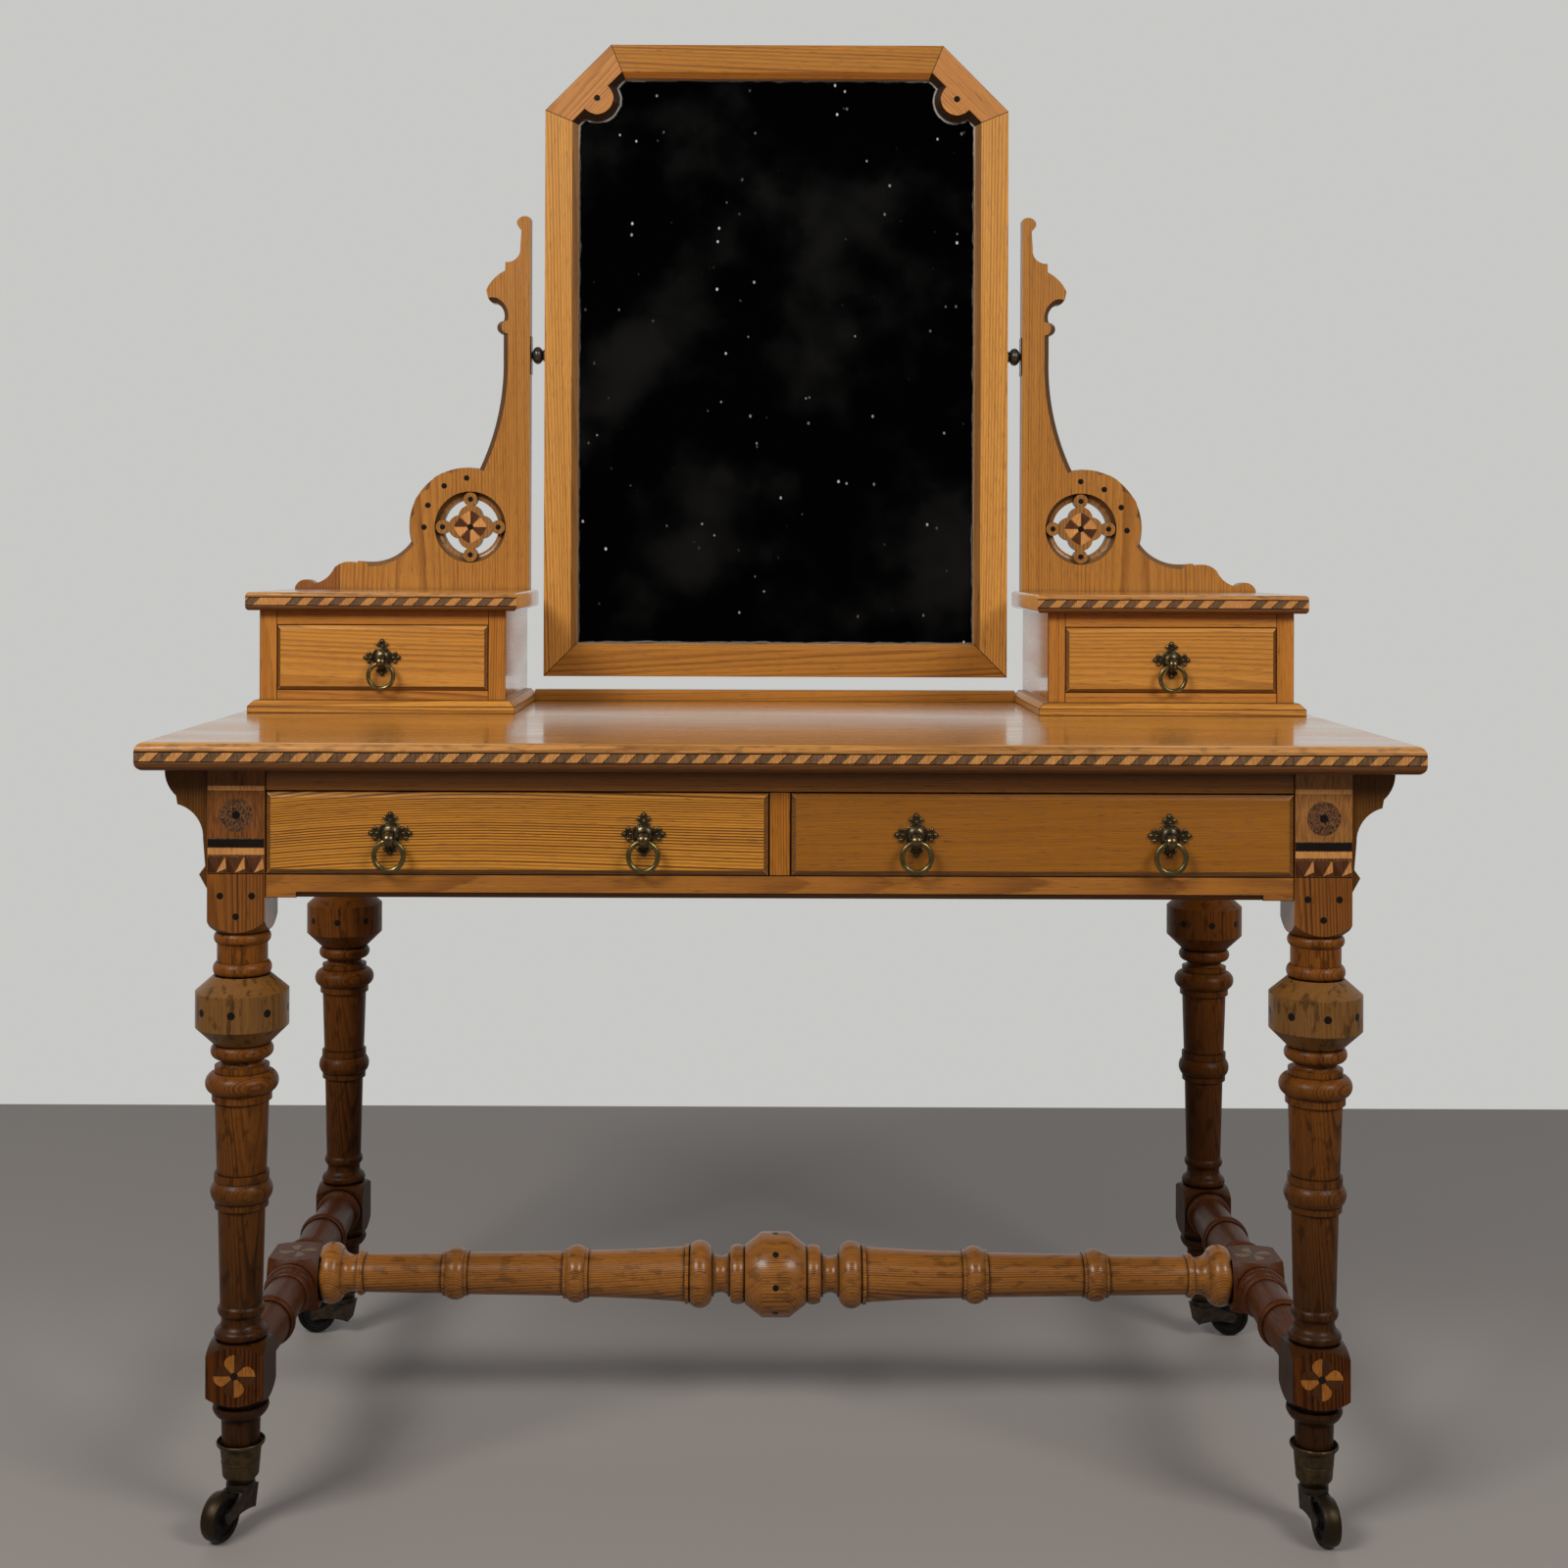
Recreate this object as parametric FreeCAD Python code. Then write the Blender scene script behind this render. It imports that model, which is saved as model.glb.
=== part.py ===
import FreeCAD, Part
import math
import os

os.makedirs("parts", exist_ok=True)
Vec = FreeCAD.Vector

# The dressing table stands on the floor at z = 0, its front edge towards -y, in millimetres.
# The origin is on the floor under the middle of the desk top.

# General values
full_turn = 360.0
quarter_turn = 90.0
overrun = 6.0              # how far every cutter runs past what it cuts
same_place = 0.001         # two points closer than this are one point
sliding_gap = 0.3          # between a sliding piece and what it slides on
running_gap = 0.05         # radial, between a pin and its hole
loose_gap = 0.8            # around a drawer front in its opening

# Desk top
top_width = 1220.0
top_depth = 610.0
top_thickness = 27.0
top_height = 763.5
top_edge_radius = 8.0
banding_height = 10.0
banding_depth = 1.5

# Legs: square blocks joined by turning
leg_end_setback = 90.0     # from the top's ends in to the legs' axes
leg_front_setback = 56.0   # from the top's front edge back to the front legs' axes
leg_back_setback = 49.0
leg_width = 55.5
leg_block_height = 159.5   # the upper block, from the top down
leg_dome_height = 15.0
low_block_bottom = 124.0
low_block_top = 184.0
low_dome_height = 11.5

# Frieze between the legs
frieze_height = 123.5
rail_thickness = 20.0
rail_setback = 1.5         # from a leg's face in to a rail's face
top_rail_height = 21.0
bottom_rail_height = 22.5
divider_width = 20.0
stop_chamfer = 5.0
stop_chamfer_margin = 30.0
runner_height = 16.0
runner_width = 48.0
guide_height = 20.0
centre_runner_width = 70.0

# Long drawers
drawer_back_gap = 32.5      # from a drawer's back to the back rail, so that it stops on its front
drawer_front_thickness = 20.0
drawer_field_rise = 3.0    # how far the front's field stands proud of its edges
drawer_bevel_width = 5.0
drawer_side_thickness = 12.0
drawer_side_height = 68.0
drawer_bottom_thickness = 6.0
drawer_bottom_lift = 5.0
drawer_pull_share = 0.5035  # distance between a drawer's two pulls, as a share of its width

# Side brackets under the top's ends
bracket_reach = 42.0
bracket_thickness = 46.0

# Stretchers
stretcher_height = 155.0
long_stretcher_rise = 4.0   # its axis above the side stretchers' axes
long_stretcher_width = 52.5 # the square that its turned sections are shares of
stretcher_block_width = 55.0
stretcher_block_length = 64.0
stretcher_dome_height = 11.0

# Castors
cup_base_height = 44.0
cup_base_diameter = 24.0
cup_shoulder_height = 7.0
cup_low_diameter = 34.6
cup_body_height = 25.5
cup_top_diameter = 39.4
cup_flare_height = 4.5
cup_rim_diameter = 46.8
cup_lip_height = 3.0
cup_wall = 1.6
cup_floor = 3.0
cup_fit = 0.2
wheel_diameter = 46.0
wheel_width = 16.0
wheel_crown = 1.6
wheel_recess = 3.5
wheel_tyre = 5.0
wheel_hub_diameter = 14.0
axle_diameter = 5.0
trail = 33.0
fork_plate_thickness = 5.0
fork_plate_diameter = 27.6
fork_cheek = 2.6
fork_wheel_gap = 0.6
fork_wheel_clearance = 1.4
fork_heel = 9.0
fork_foot_height = 17.0
fork_hollow = 3.0           # how far its lower edge curves up between the heel and the axle
fork_end_radius = 6.0
swivel_pin_diameter = 8.0
# Turn of each castor as the photograph shows it, in degrees from straight forward
castor_turns = {"front_left": -21.0, "front_right": 5.0, "rear_left": -97.0, "rear_right": 98.0}

# Trinket boxes on the back of the top
box_end_inset = 27.8        # from the top's ends in to the boxes' sides
box_width = 277.0
box_depth = 223.0
box_back_inset = 3.0
box_body_height = 101.0
box_board = 12.0
box_back_board = 8.0
box_stile_width = 19.5
box_frame_thickness = 16.0
box_top_rail_height = 16.0
box_bottom_rail_height = 11.6
box_guide_width = 8.0
box_guide_height = 10.0
plinth_height = 14.0
plinth_overhang = 11.5
plinth_chamfer = 6.5
slab_thickness = 20.5
slab_overhang = 13.4
slab_edge_radius = 4.0
box_drawer_length = 200.0
box_drawer_board = 8.0
box_drawer_side_height = 62.0
box_drawer_bottom = 5.0
box_drawer_bevel_width = 4.0
box_drawer_rise = 2.5

# Low gallery rail behind, between the boxes
gallery_height = 13.5
gallery_thickness = 16.0
gallery_back_inset = 6.0
gallery_edge_radius = 4.0

# Harp supports of the mirror, sawn from board
harp_height = 459.0
harp_thickness = 22.0
harp_inset = 9.0            # from a box top's inner end out to the harp
harp_back_inset = 2.0
harp_chamfer = 6.0
harp_knob_drop = 2.5        # how far the inner edge ends below the knob at the top
wheel_centre_out = 72.5
wheel_centre_up = 76.5
round_radius = 75.0
pierced_radius = 43.5
pierced_inner_radius = 34.0
pierced_cove_depth = 8.5
rosette_recess = 1.5
rosette_back = 5.0
foil_radius = 14.5
foil_offset = 12.5
roundel_radius = 8.4
roundel_offset = 34.0
scallop_angles = (-0.5, 27.0, 57.3, 85.5)   # where the scallops lie round the rim, from level outwards
scallop_offset = 52.0
scallop_radius = 23.0
chip_depth = 5.0

# Swing mirror
mirror_side_gap = 17.9      # between the frame and each harp
mirror_height = 771.5
mirror_lift = 30.2          # from the desk top up to the frame's lower edge
mirror_corner_cut = 80.0
mirror_thickness = 25.0
member_face = 33.0
member_bevel = 7.0
bevel_depth = 5.0
glass_front_depth = 11.0
glass_thickness = 4.0
glass_rebate = 6.0
glass_fit = 0.5
backboard_thickness = 6.0
lobe_side_distance = 63.0
lobe_top_distance = 65.0
lobe_radius = 20.0
pivot_rise = 287.4          # from the harps' base up to the pivots
pivot_ball_diameter = 16.0
pivot_neck_diameter = 8.0
pivot_collar_diameter = 12.0
pivot_collar_thickness = 2.5
pivot_pin_diameter = 7.0
pivot_pin_length = 12.0
pivot_pin_end_gap = 3.0
pivot_plate_thickness = 1.3
pivot_plate_height = 46.0
pivot_plate_width = 18.0

# Ring pulls
pull_boss_radius = 11.5
pull_plate_thickness = 1.6
pull_finial_reach = 14.6
pull_finial_radius = 2.7
pull_tip_reach = 18.6
pull_tip_radius = 2.4
pull_dome_radius = 9.0
pull_dome_height = 3.6
pull_ball_radius = 7.0
pull_ball_drop = 5.0
pull_ball_forward = 9.5
pull_ball_width = 8.4
pull_eye_radius = 3.5
ring_radius = 14.0
ring_wire_radius = 2.5
ring_top_drop = 6.4         # from the boss centre down to the ring's uppermost wire

# Places worked out from the sizes above
front_y = -top_depth / 2
back_y = top_depth / 2
top_under = top_height - top_thickness
leg_x = top_width / 2 - leg_end_setback
leg_front_y = front_y + leg_front_setback
leg_rear_y = back_y - leg_back_setback
leg_spacing_y = leg_rear_y - leg_front_y
leg_block_bottom = top_under - leg_block_height
frieze_bottom = top_under - frieze_height
leg_half = leg_width / 2
stretcher_y = (leg_front_y + leg_rear_y) / 2
opening_half = leg_x - leg_half
rail_front_y = leg_front_y - leg_half + rail_setback
rail_back_y = leg_rear_y + leg_half - rail_setback
drawer_back_y = rail_back_y - rail_thickness - drawer_back_gap
drawer_low = frieze_bottom + bottom_rail_height
drawer_high = top_under - top_rail_height
drawer_width = opening_half - divider_width / 2
box_middle_x = top_width / 2 - box_end_inset - box_width / 2
box_back_y = back_y - box_back_inset
box_front_y = box_back_y - box_depth
box_bottom = top_height + plinth_height
box_top = box_bottom + box_body_height
harp_base = box_top + slab_thickness
harp_inner_x = box_middle_x - box_width / 2 - slab_overhang + harp_inset
harp_back_y = back_y - harp_back_inset
harp_front_y = harp_back_y - harp_thickness
pivot_y = harp_back_y - harp_thickness / 2
pivot_height = harp_base + pivot_rise
mirror_width = 2 * (harp_inner_x - mirror_side_gap)
mirror_bottom = top_height + mirror_lift
mirror_top = mirror_bottom + mirror_height
mirror_front_y = pivot_y - mirror_thickness / 2

# Turned sections, from the low end up. Each is its height as a share of the turning's length, then its
# diameters at the low end, half way and at the high end as shares of the block's width.
# None half way makes the side straight, otherwise it is an arc.
foot_shares = (
    (0.66, 0.645, None, 0.675),
    (0.19, 0.75, 0.90, 0.97),
    (0.07, 0.97, None, 0.95),
    (0.08, 0.80, None, 0.80),
)
stem_shares = (
    (0.025, 0.83, 0.92, 0.83),
    (0.031, 0.82, 0.69, 0.72),
    (0.028, 0.72, 0.81, 0.72),
    (0.238, 0.73, None, 0.81),
    (0.014, 0.92, None, 0.92),
    (0.053, 0.90, 1.07, 0.90),
    (0.018, 0.94, None, 0.94),
    (0.178, 0.85, None, 0.93),
    (0.018, 1.03, None, 1.03),
    (0.052, 1.01, 1.26, 1.01),
    (0.016, 0.94, None, 0.94),
    (0.018, 0.83, 0.73, 0.79),
    (0.037, 0.90, 1.08, 0.90),
    (0.042, 0.99, None, 1.605),
    (0.087, 1.605, None, 1.605),
    (0.038, 1.605, None, 0.99),
    (0.033, 0.90, 1.01, 0.90),
    (0.046, 0.87, None, 0.87),
    (0.028, 0.88, 0.98, 0.88),
)
side_stretcher_shares = (
    (0.050, 0.84, 0.94, 0.84),
    (0.040, 0.80, 0.72, 0.76),
    (0.340, 0.76, None, 0.84),
    (0.015, 0.90, None, 0.90),
    (0.060, 0.86, 0.97, 0.86),
    (0.015, 0.90, None, 0.90),
    (0.330, 0.84, None, 0.76),
    (0.050, 0.78, 0.90, 0.78),
    (0.070, 0.84, 0.98, 0.84),
    (0.030, 0.80, None, 0.80),
)
long_stretcher_shares = (
    (0.030, 1.69, None, 1.69),
    (0.037, 1.69, None, 1.17),
    (0.032, 1.08, 1.19, 1.08),
    (0.006, 0.90, None, 0.90),
    (0.031, 0.82, 0.71, 0.82),
    (0.004, 0.90, None, 0.90),
    (0.051, 1.00, 1.34, 1.10),
    (0.008, 1.19, None, 1.19),
    (0.213, 1.10, 0.98, 0.92),
    (0.008, 0.99, None, 0.99),
    (0.039, 1.00, 1.15, 1.00),
    (0.008, 0.99, None, 0.99),
    (0.211, 0.88, None, 0.83),
    (0.008, 0.90, None, 0.90),
    (0.039, 0.92, 1.05, 0.92),
    (0.008, 0.90, None, 0.90),
    (0.173, 0.80, None, 0.76),
    (0.016, 0.80, 0.89, 0.80),
    (0.033, 0.76, 0.74, 0.94),
    (0.045, 1.00, 1.23, 1.08),
)
dome_shares = (0.88, 1.22, 1.45)   # diameters of a block's turned end, as shares of the block's width

# Side bracket's outline from the leg outwards and down, as shares of its reach
bracket_shares = (
    ("line", 1.00, 0.00),
    ("arc", 0.94, -0.36, 0.74, -0.64),
    ("line", 0.71, -0.83),
    ("arc", 0.29, -1.10, 0.12, -1.62),
    ("line", 0.07, -2.24),
    ("line", 0.21, -2.43),
    ("line", 0.00, -2.81),
)

# Harp's outline from the top of its inner edge out and down to the base, as shares of its height. A line has
# its end; an arc has its middle and its end. The last pair is the way the front arris steps back there, as
# shares of the chamfer's width, at the end of the stretch.
harp_shares = (
    ("arc", (0.018, 0.995), (0.0355, 0.982), (0, 0)),
    ("arc", (0.034, 0.970), (0.024, 0.962), (0, 0)),
    ("line", (0.0270, 0.911), (0, 0)),
    ("arc", (0.036, 0.884), (0.0665, 0.873), (0, 0)),
    ("line", (0.0675, 0.850), (0, 0)),
    ("arc", (0.090, 0.835), (0.1175, 0.798), (0, 0)),
    ("line", (0.1125, 0.776), (0, 0)),
    ("arc", (0.104, 0.767), (0.0920, 0.765), (-0.3, 0.9)),
    ("arc", (0.077, 0.753), (0.0719, 0.717), (-1, 0)),
    ("arc", (0.0893, 0.699), (0.0719, 0.682), (-1, 0)),
    ("line", (0.0719, 0.619), (-1, 0)),
    ("arc", (0.087, 0.461), (0.1340, 0.3225), (-0.9, -0.5)),
)
foot_of_harp_shares = (
    ("arc", (0.3545, 0.092), (0.4260, 0.0735), (0, -1)),
    ("line", (0.4380, 0.0735), (0, 0)),
    ("line", (0.4555, 0.0755), (0, 0)),
    ("line", (0.4610, 0.0695), (0, 0)),
    ("arc", (0.492, 0.0720), (0.5200, 0.0560), (0, 0)),
    ("arc", (0.541, 0.0290), (0.5720, 0.0150), (0, 0)),
    ("arc", (0.600, 0.0250), (0.6238, 0.0050), (0, 0)),
    ("line", (0.6238, 0.0), (0, 0)),
)
round_end_share = 0.3166     # where the scalloped round meets the foot, out from the inner edge
# Half way through the hollow of the pierced wheel's ring: out from its inner edge and in from the face, as
# shares of its width and depth
cove_shares = (0.79, 0.65)


def block(x_low, x_high, y_low, y_high, z_low, z_high):
    return Part.makeBox(x_high - x_low, y_high - y_low, z_high - z_low, Vec(x_low, y_low, z_low))


def cylinder_y(radius, x, z, y_low, y_high):
    return Part.makeCylinder(radius, y_high - y_low, Vec(x, y_low, z), Vec(0, 1, 0))


def cylinder_x(radius, y, z, x_low, x_high):
    return Part.makeCylinder(radius, x_high - x_low, Vec(x_low, y, z), Vec(1, 0, 0))


def to_other_side(shape):
    return shape.mirror(Vec(0, 0, 0), Vec(1, 0, 0))


def line(start, end):
    return Part.makeLine(start, end)


def arc(start, middle, end):
    return Part.Arc(start, middle, end).toShape()


def polygon(points):
    return Part.Face(Part.makePolygon(list(points) + [points[0]]))


def edges_where(shape, test):
    return [edge for edge in shape.Edges if test(edge.BoundBox)]


# A solid of revolution about z, made from a table of turned sections
def turned(sections, start, length, width):
    edges = []
    z = start
    last = Vec(0, 0, start)
    for height, low, middle, high in sections:
        rise = height * length
        low_point = Vec(low * width / 2, 0, z)
        high_point = Vec(high * width / 2, 0, z + rise)
        if last.distanceToPoint(low_point) > same_place:
            edges.append(line(last, low_point))
        if middle is None:
            edges.append(line(low_point, high_point))
        else:
            edges.append(arc(low_point, Vec(middle * width / 2, 0, z + rise / 2), high_point))
        z += rise
        last = high_point
    edges.append(line(last, Vec(0, 0, z)))
    edges.append(line(Vec(0, 0, z), Vec(0, 0, start)))
    return Part.Face(Part.Wire(edges)).revolve(Vec(0, 0, 0), Vec(0, 0, 1), full_turn)


# A square block whose lower end, and upper end if asked, are turned to a dome
def domed_block(width, low, high, dome_height, both_ends):
    end, shoulder, clear = dome_shares
    length = high - low
    dome = dome_height / length
    sections = [(dome, end, shoulder, clear)]
    if both_ends:
        sections += [(1 - 2 * dome, clear, None, clear), (dome, clear, shoulder, end)]
    else:
        sections += [(1 - dome, clear, None, clear)]
    square = block(-width / 2, width / 2, -width / 2, width / 2, low, high)
    return square.common(turned(sections, low, length, width))


def inside_cup_diameter(outer_diameter):
    return outer_diameter - 2 * cup_wall


# One leg on the z axis: foot in its castor cup, low block, turned stem and top block
def make_leg():
    foot_low = cup_base_height + cup_shoulder_height
    foot_high = foot_low + cup_body_height
    low_radius = inside_cup_diameter(cup_low_diameter) / 2 - cup_fit
    high_radius = inside_cup_diameter(cup_top_diameter) / 2 - cup_fit
    plug = Part.makeCone(low_radius, high_radius, cup_body_height, Vec(0, 0, foot_low))
    foot = turned(foot_shares, foot_high, low_block_bottom - foot_high, leg_width)
    low_block = domed_block(leg_width, low_block_bottom, low_block_top, low_dome_height, True)
    stem = turned(stem_shares, low_block_top, leg_block_bottom - low_block_top, leg_width)
    top_block = domed_block(leg_width, leg_block_bottom, top_under, leg_dome_height, False)
    return plug.multiFuse([foot, low_block, stem, top_block]).removeSplitter()


def leg_places():
    return {
        "front_left": Vec(-leg_x, leg_front_y, 0),
        "front_right": Vec(leg_x, leg_front_y, 0),
        "rear_left": Vec(-leg_x, leg_rear_y, 0),
        "rear_right": Vec(leg_x, leg_rear_y, 0),
    }


# Desk top with rounded arrises on the front and ends, grooved along the front for the rope banding
def make_desk_top():
    board = block(-top_width / 2, top_width / 2, front_y, back_y, top_under, top_height)

    def is_rounded(box):
        level = box.ZLength < same_place
        at_back = box.YMin > back_y - same_place
        return level and not at_back

    board = board.makeFillet(top_edge_radius, edges_where(board, is_rounded))
    return board.cut(banding_strip(0, top_width, front_y, (top_under + top_height) / 2))


def banding_strip(x_middle, width, y_front, z_middle):
    return block(x_middle - width / 2, x_middle + width / 2, y_front, y_front + banding_depth,
                 z_middle - banding_height / 2, z_middle + banding_height / 2)


# Frieze rails between the legs
def make_top_rail():
    return block(-opening_half, opening_half, rail_front_y, rail_front_y + rail_thickness,
                 drawer_high, top_under)


def make_bottom_rail():
    rail = block(-opening_half, opening_half, rail_front_y, rail_front_y + rail_thickness,
                 frieze_bottom, drawer_low)
    half = opening_half - stop_chamfer_margin
    section = polygon([
        Vec(-half, rail_front_y - overrun, frieze_bottom - overrun),
        Vec(-half, rail_front_y - overrun, frieze_bottom + stop_chamfer + overrun),
        Vec(-half, rail_front_y + stop_chamfer + overrun, frieze_bottom - overrun),
    ])
    return rail.cut(section.extrude(Vec(2 * half, 0, 0)))


def make_divider():
    return block(-divider_width / 2, divider_width / 2, rail_front_y, rail_front_y + rail_thickness,
                 drawer_low, drawer_high)


def make_back_rail():
    return block(-opening_half, opening_half, rail_back_y - rail_thickness, rail_back_y,
                 frieze_bottom, top_under)


def make_side_rail():
    outer = leg_x + leg_half - rail_setback
    return block(outer - rail_thickness, outer, leg_front_y + leg_half, leg_rear_y - leg_half,
                 frieze_bottom, top_under)


# Bearers that the long drawers run on: one in the middle and one along each side rail
def make_runners():
    low = drawer_low - runner_height
    high = drawer_low
    back = rail_back_y - rail_thickness
    middle_guide = divider_width / 2
    half = centre_runner_width / 2
    middle = block(-half, half, rail_front_y + rail_thickness, back, low, high)
    middle = middle.fuse(block(-middle_guide, middle_guide, rail_front_y + rail_thickness, back,
                               high, high + guide_height))
    side_outer = leg_x + leg_half - rail_setback - rail_thickness
    side = block(side_outer - runner_width, side_outer, leg_front_y + leg_half, leg_rear_y - leg_half,
                 low, high)
    side = side.fuse(block(opening_half, side_outer, leg_front_y + leg_half, leg_rear_y - leg_half,
                           high, high + guide_height))
    return [middle.removeSplitter(), side.removeSplitter(), to_other_side(side.removeSplitter())]


# Ogee bracket with a nib, planted on the outer face of a leg block under the top
def make_bracket():
    points = [Vec(0, 0, 0)]
    edges = []
    for kind, *shares in bracket_shares:
        pairs = zip(shares[0::2], shares[1::2])
        places = [Vec(out * bracket_reach, 0, down * bracket_reach) for out, down in pairs]
        if kind == "line":
            edges.append(line(points[-1], places[0]))
        else:
            edges.append(arc(points[-1], places[0], places[1]))
        points.append(places[-1])
    edges.append(line(points[-1], points[0]))
    shape = Part.Face(Part.Wire(edges)).extrude(Vec(0, bracket_thickness, 0))
    shape.translate(Vec(leg_x + leg_half, -bracket_thickness / 2, top_under))
    return shape


def make_brackets():
    brackets = []
    for y in (leg_front_y, leg_rear_y):
        right = make_bracket()
        right.translate(Vec(0, y, 0))
        brackets += [right, to_other_side(right)]
    return brackets


# Turned stretchers, made along z and then laid down
def make_side_stretcher():
    length = leg_spacing_y - leg_width
    half = (length - stretcher_block_length) / 2
    low_half = turned(side_stretcher_shares, -length / 2, half, stretcher_block_width)
    middle = domed_block(stretcher_block_width, -stretcher_block_length / 2, stretcher_block_length / 2,
                         stretcher_dome_height, True)
    high_half = low_half.mirror(Vec(0, 0, 0), Vec(0, 0, 1))
    shape = low_half.multiFuse([middle, high_half]).removeSplitter()
    shape.rotate(Vec(0, 0, 0), Vec(1, 0, 0), quarter_turn)
    shape.translate(Vec(leg_x, stretcher_y, stretcher_height))
    return shape


def make_long_stretcher():
    half_length = leg_x - stretcher_block_width / 2
    half = turned(long_stretcher_shares, 0, half_length, long_stretcher_width)
    shape = half.fuse(half.mirror(Vec(0, 0, 0), Vec(0, 0, 1))).removeSplitter()
    shape.rotate(Vec(0, 0, 0), Vec(0, 1, 0), quarter_turn)
    shape.translate(Vec(0, stretcher_y, stretcher_height + long_stretcher_rise))
    return shape


# Castors: a brass cup on the foot, a horn-shaped fork that swivels under it, and a wheel
def make_cup():
    shoulder = cup_base_height + cup_shoulder_height
    body_top = shoulder + cup_body_height
    flare_top = body_top + cup_flare_height
    lip_top = flare_top + cup_lip_height
    base = cup_base_diameter / 2
    low = cup_low_diameter / 2
    high = cup_top_diameter / 2
    rim = cup_rim_diameter / 2
    outline = [
        Vec(0, 0, cup_base_height), Vec(base, 0, cup_base_height),
        Vec(low, 0, shoulder), Vec(high, 0, body_top),
        Vec(rim, 0, flare_top), Vec(rim, 0, lip_top), Vec(rim - cup_wall, 0, lip_top),
        Vec(rim - cup_wall, 0, flare_top), Vec(high - cup_wall, 0, body_top),
        Vec(low - cup_wall, 0, shoulder), Vec(base - cup_wall, 0, cup_base_height + cup_floor),
        Vec(0, 0, cup_base_height + cup_floor),
    ]
    cup = polygon(outline).revolve(Vec(0, 0, 0), Vec(0, 0, 1), full_turn)
    pin_bottom = cup_base_height - sliding_gap - fork_plate_thickness
    pin = Part.makeCylinder(swivel_pin_diameter / 2, cup_base_height - pin_bottom, Vec(0, 0, pin_bottom))
    return cup.fuse(pin).removeSplitter()


# The fork trails along -y from the swivel pin on the z axis
def make_fork():
    plate_high = cup_base_height - sliding_gap
    plate_low = plate_high - fork_plate_thickness
    axle_height = wheel_diameter / 2
    half_width = wheel_width / 2 + fork_wheel_gap + fork_cheek
    plate_half = fork_plate_diameter / 2
    back = Vec(0, plate_half, plate_low)
    heel = Vec(0, fork_heel, fork_foot_height)
    end_low = Vec(0, -trail, axle_height - fork_end_radius)
    end_tip = Vec(0, -trail - fork_end_radius, axle_height)
    end_high = Vec(0, -trail, axle_height + fork_end_radius)
    front = Vec(0, -plate_half, plate_low)
    low_middle = Vec(0, (fork_heel - trail) / 2, fork_foot_height + fork_hollow)
    high_middle = Vec(0, -(plate_half + trail) / 2 + fork_end_radius / 2, (end_high.z + plate_low) / 2)
    side = Part.Face(Part.Wire([
        line(back, heel), arc(heel, low_middle, end_low), arc(end_low, end_tip, end_high),
        arc(end_high, high_middle, front), line(front, back),
    ]))
    horn = side.extrude(Vec(2 * half_width, 0, 0))
    horn.translate(Vec(-half_width, 0, 0))
    slot_half = wheel_width / 2 + fork_wheel_gap
    slot = cylinder_x(wheel_diameter / 2 + fork_wheel_clearance, -trail, axle_height, -slot_half, slot_half)
    plate = Part.makeCylinder(plate_half, fork_plate_thickness, Vec(0, 0, plate_low))
    pin_hole = Part.makeCylinder(swivel_pin_diameter / 2 + running_gap, plate_high - fork_foot_height,
                                 Vec(0, 0, fork_foot_height))
    axle = cylinder_x(axle_diameter / 2, -trail, axle_height, -half_width, half_width)
    return horn.cut(slot).fuse(plate.cut(slot)).cut(pin_hole).fuse(axle).removeSplitter()


def make_wheel():
    radius = wheel_diameter / 2
    half = wheel_width / 2
    web = half - wheel_recess
    tyre_inner = radius - wheel_crown - wheel_tyre
    hub = wheel_hub_diameter / 2
    bore = axle_diameter / 2 + running_gap
    shoulder = radius - wheel_crown
    edges = [
        line(Vec(-half, bore, 0), Vec(-half, hub, 0)), line(Vec(-half, hub, 0), Vec(-web, hub, 0)),
        line(Vec(-web, hub, 0), Vec(-web, tyre_inner, 0)),
        line(Vec(-web, tyre_inner, 0), Vec(-half, tyre_inner, 0)),
        line(Vec(-half, tyre_inner, 0), Vec(-half, shoulder, 0)),
        arc(Vec(-half, shoulder, 0), Vec(0, radius, 0), Vec(half, shoulder, 0)),
        line(Vec(half, shoulder, 0), Vec(half, tyre_inner, 0)),
        line(Vec(half, tyre_inner, 0), Vec(web, tyre_inner, 0)),
        line(Vec(web, tyre_inner, 0), Vec(web, hub, 0)), line(Vec(web, hub, 0), Vec(half, hub, 0)),
        line(Vec(half, hub, 0), Vec(half, bore, 0)), line(Vec(half, bore, 0), Vec(-half, bore, 0)),
    ]
    shape = Part.Face(Part.Wire(edges)).revolve(Vec(0, 0, 0), Vec(1, 0, 0), full_turn)
    shape.translate(Vec(0, -trail, radius))
    return shape


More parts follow.
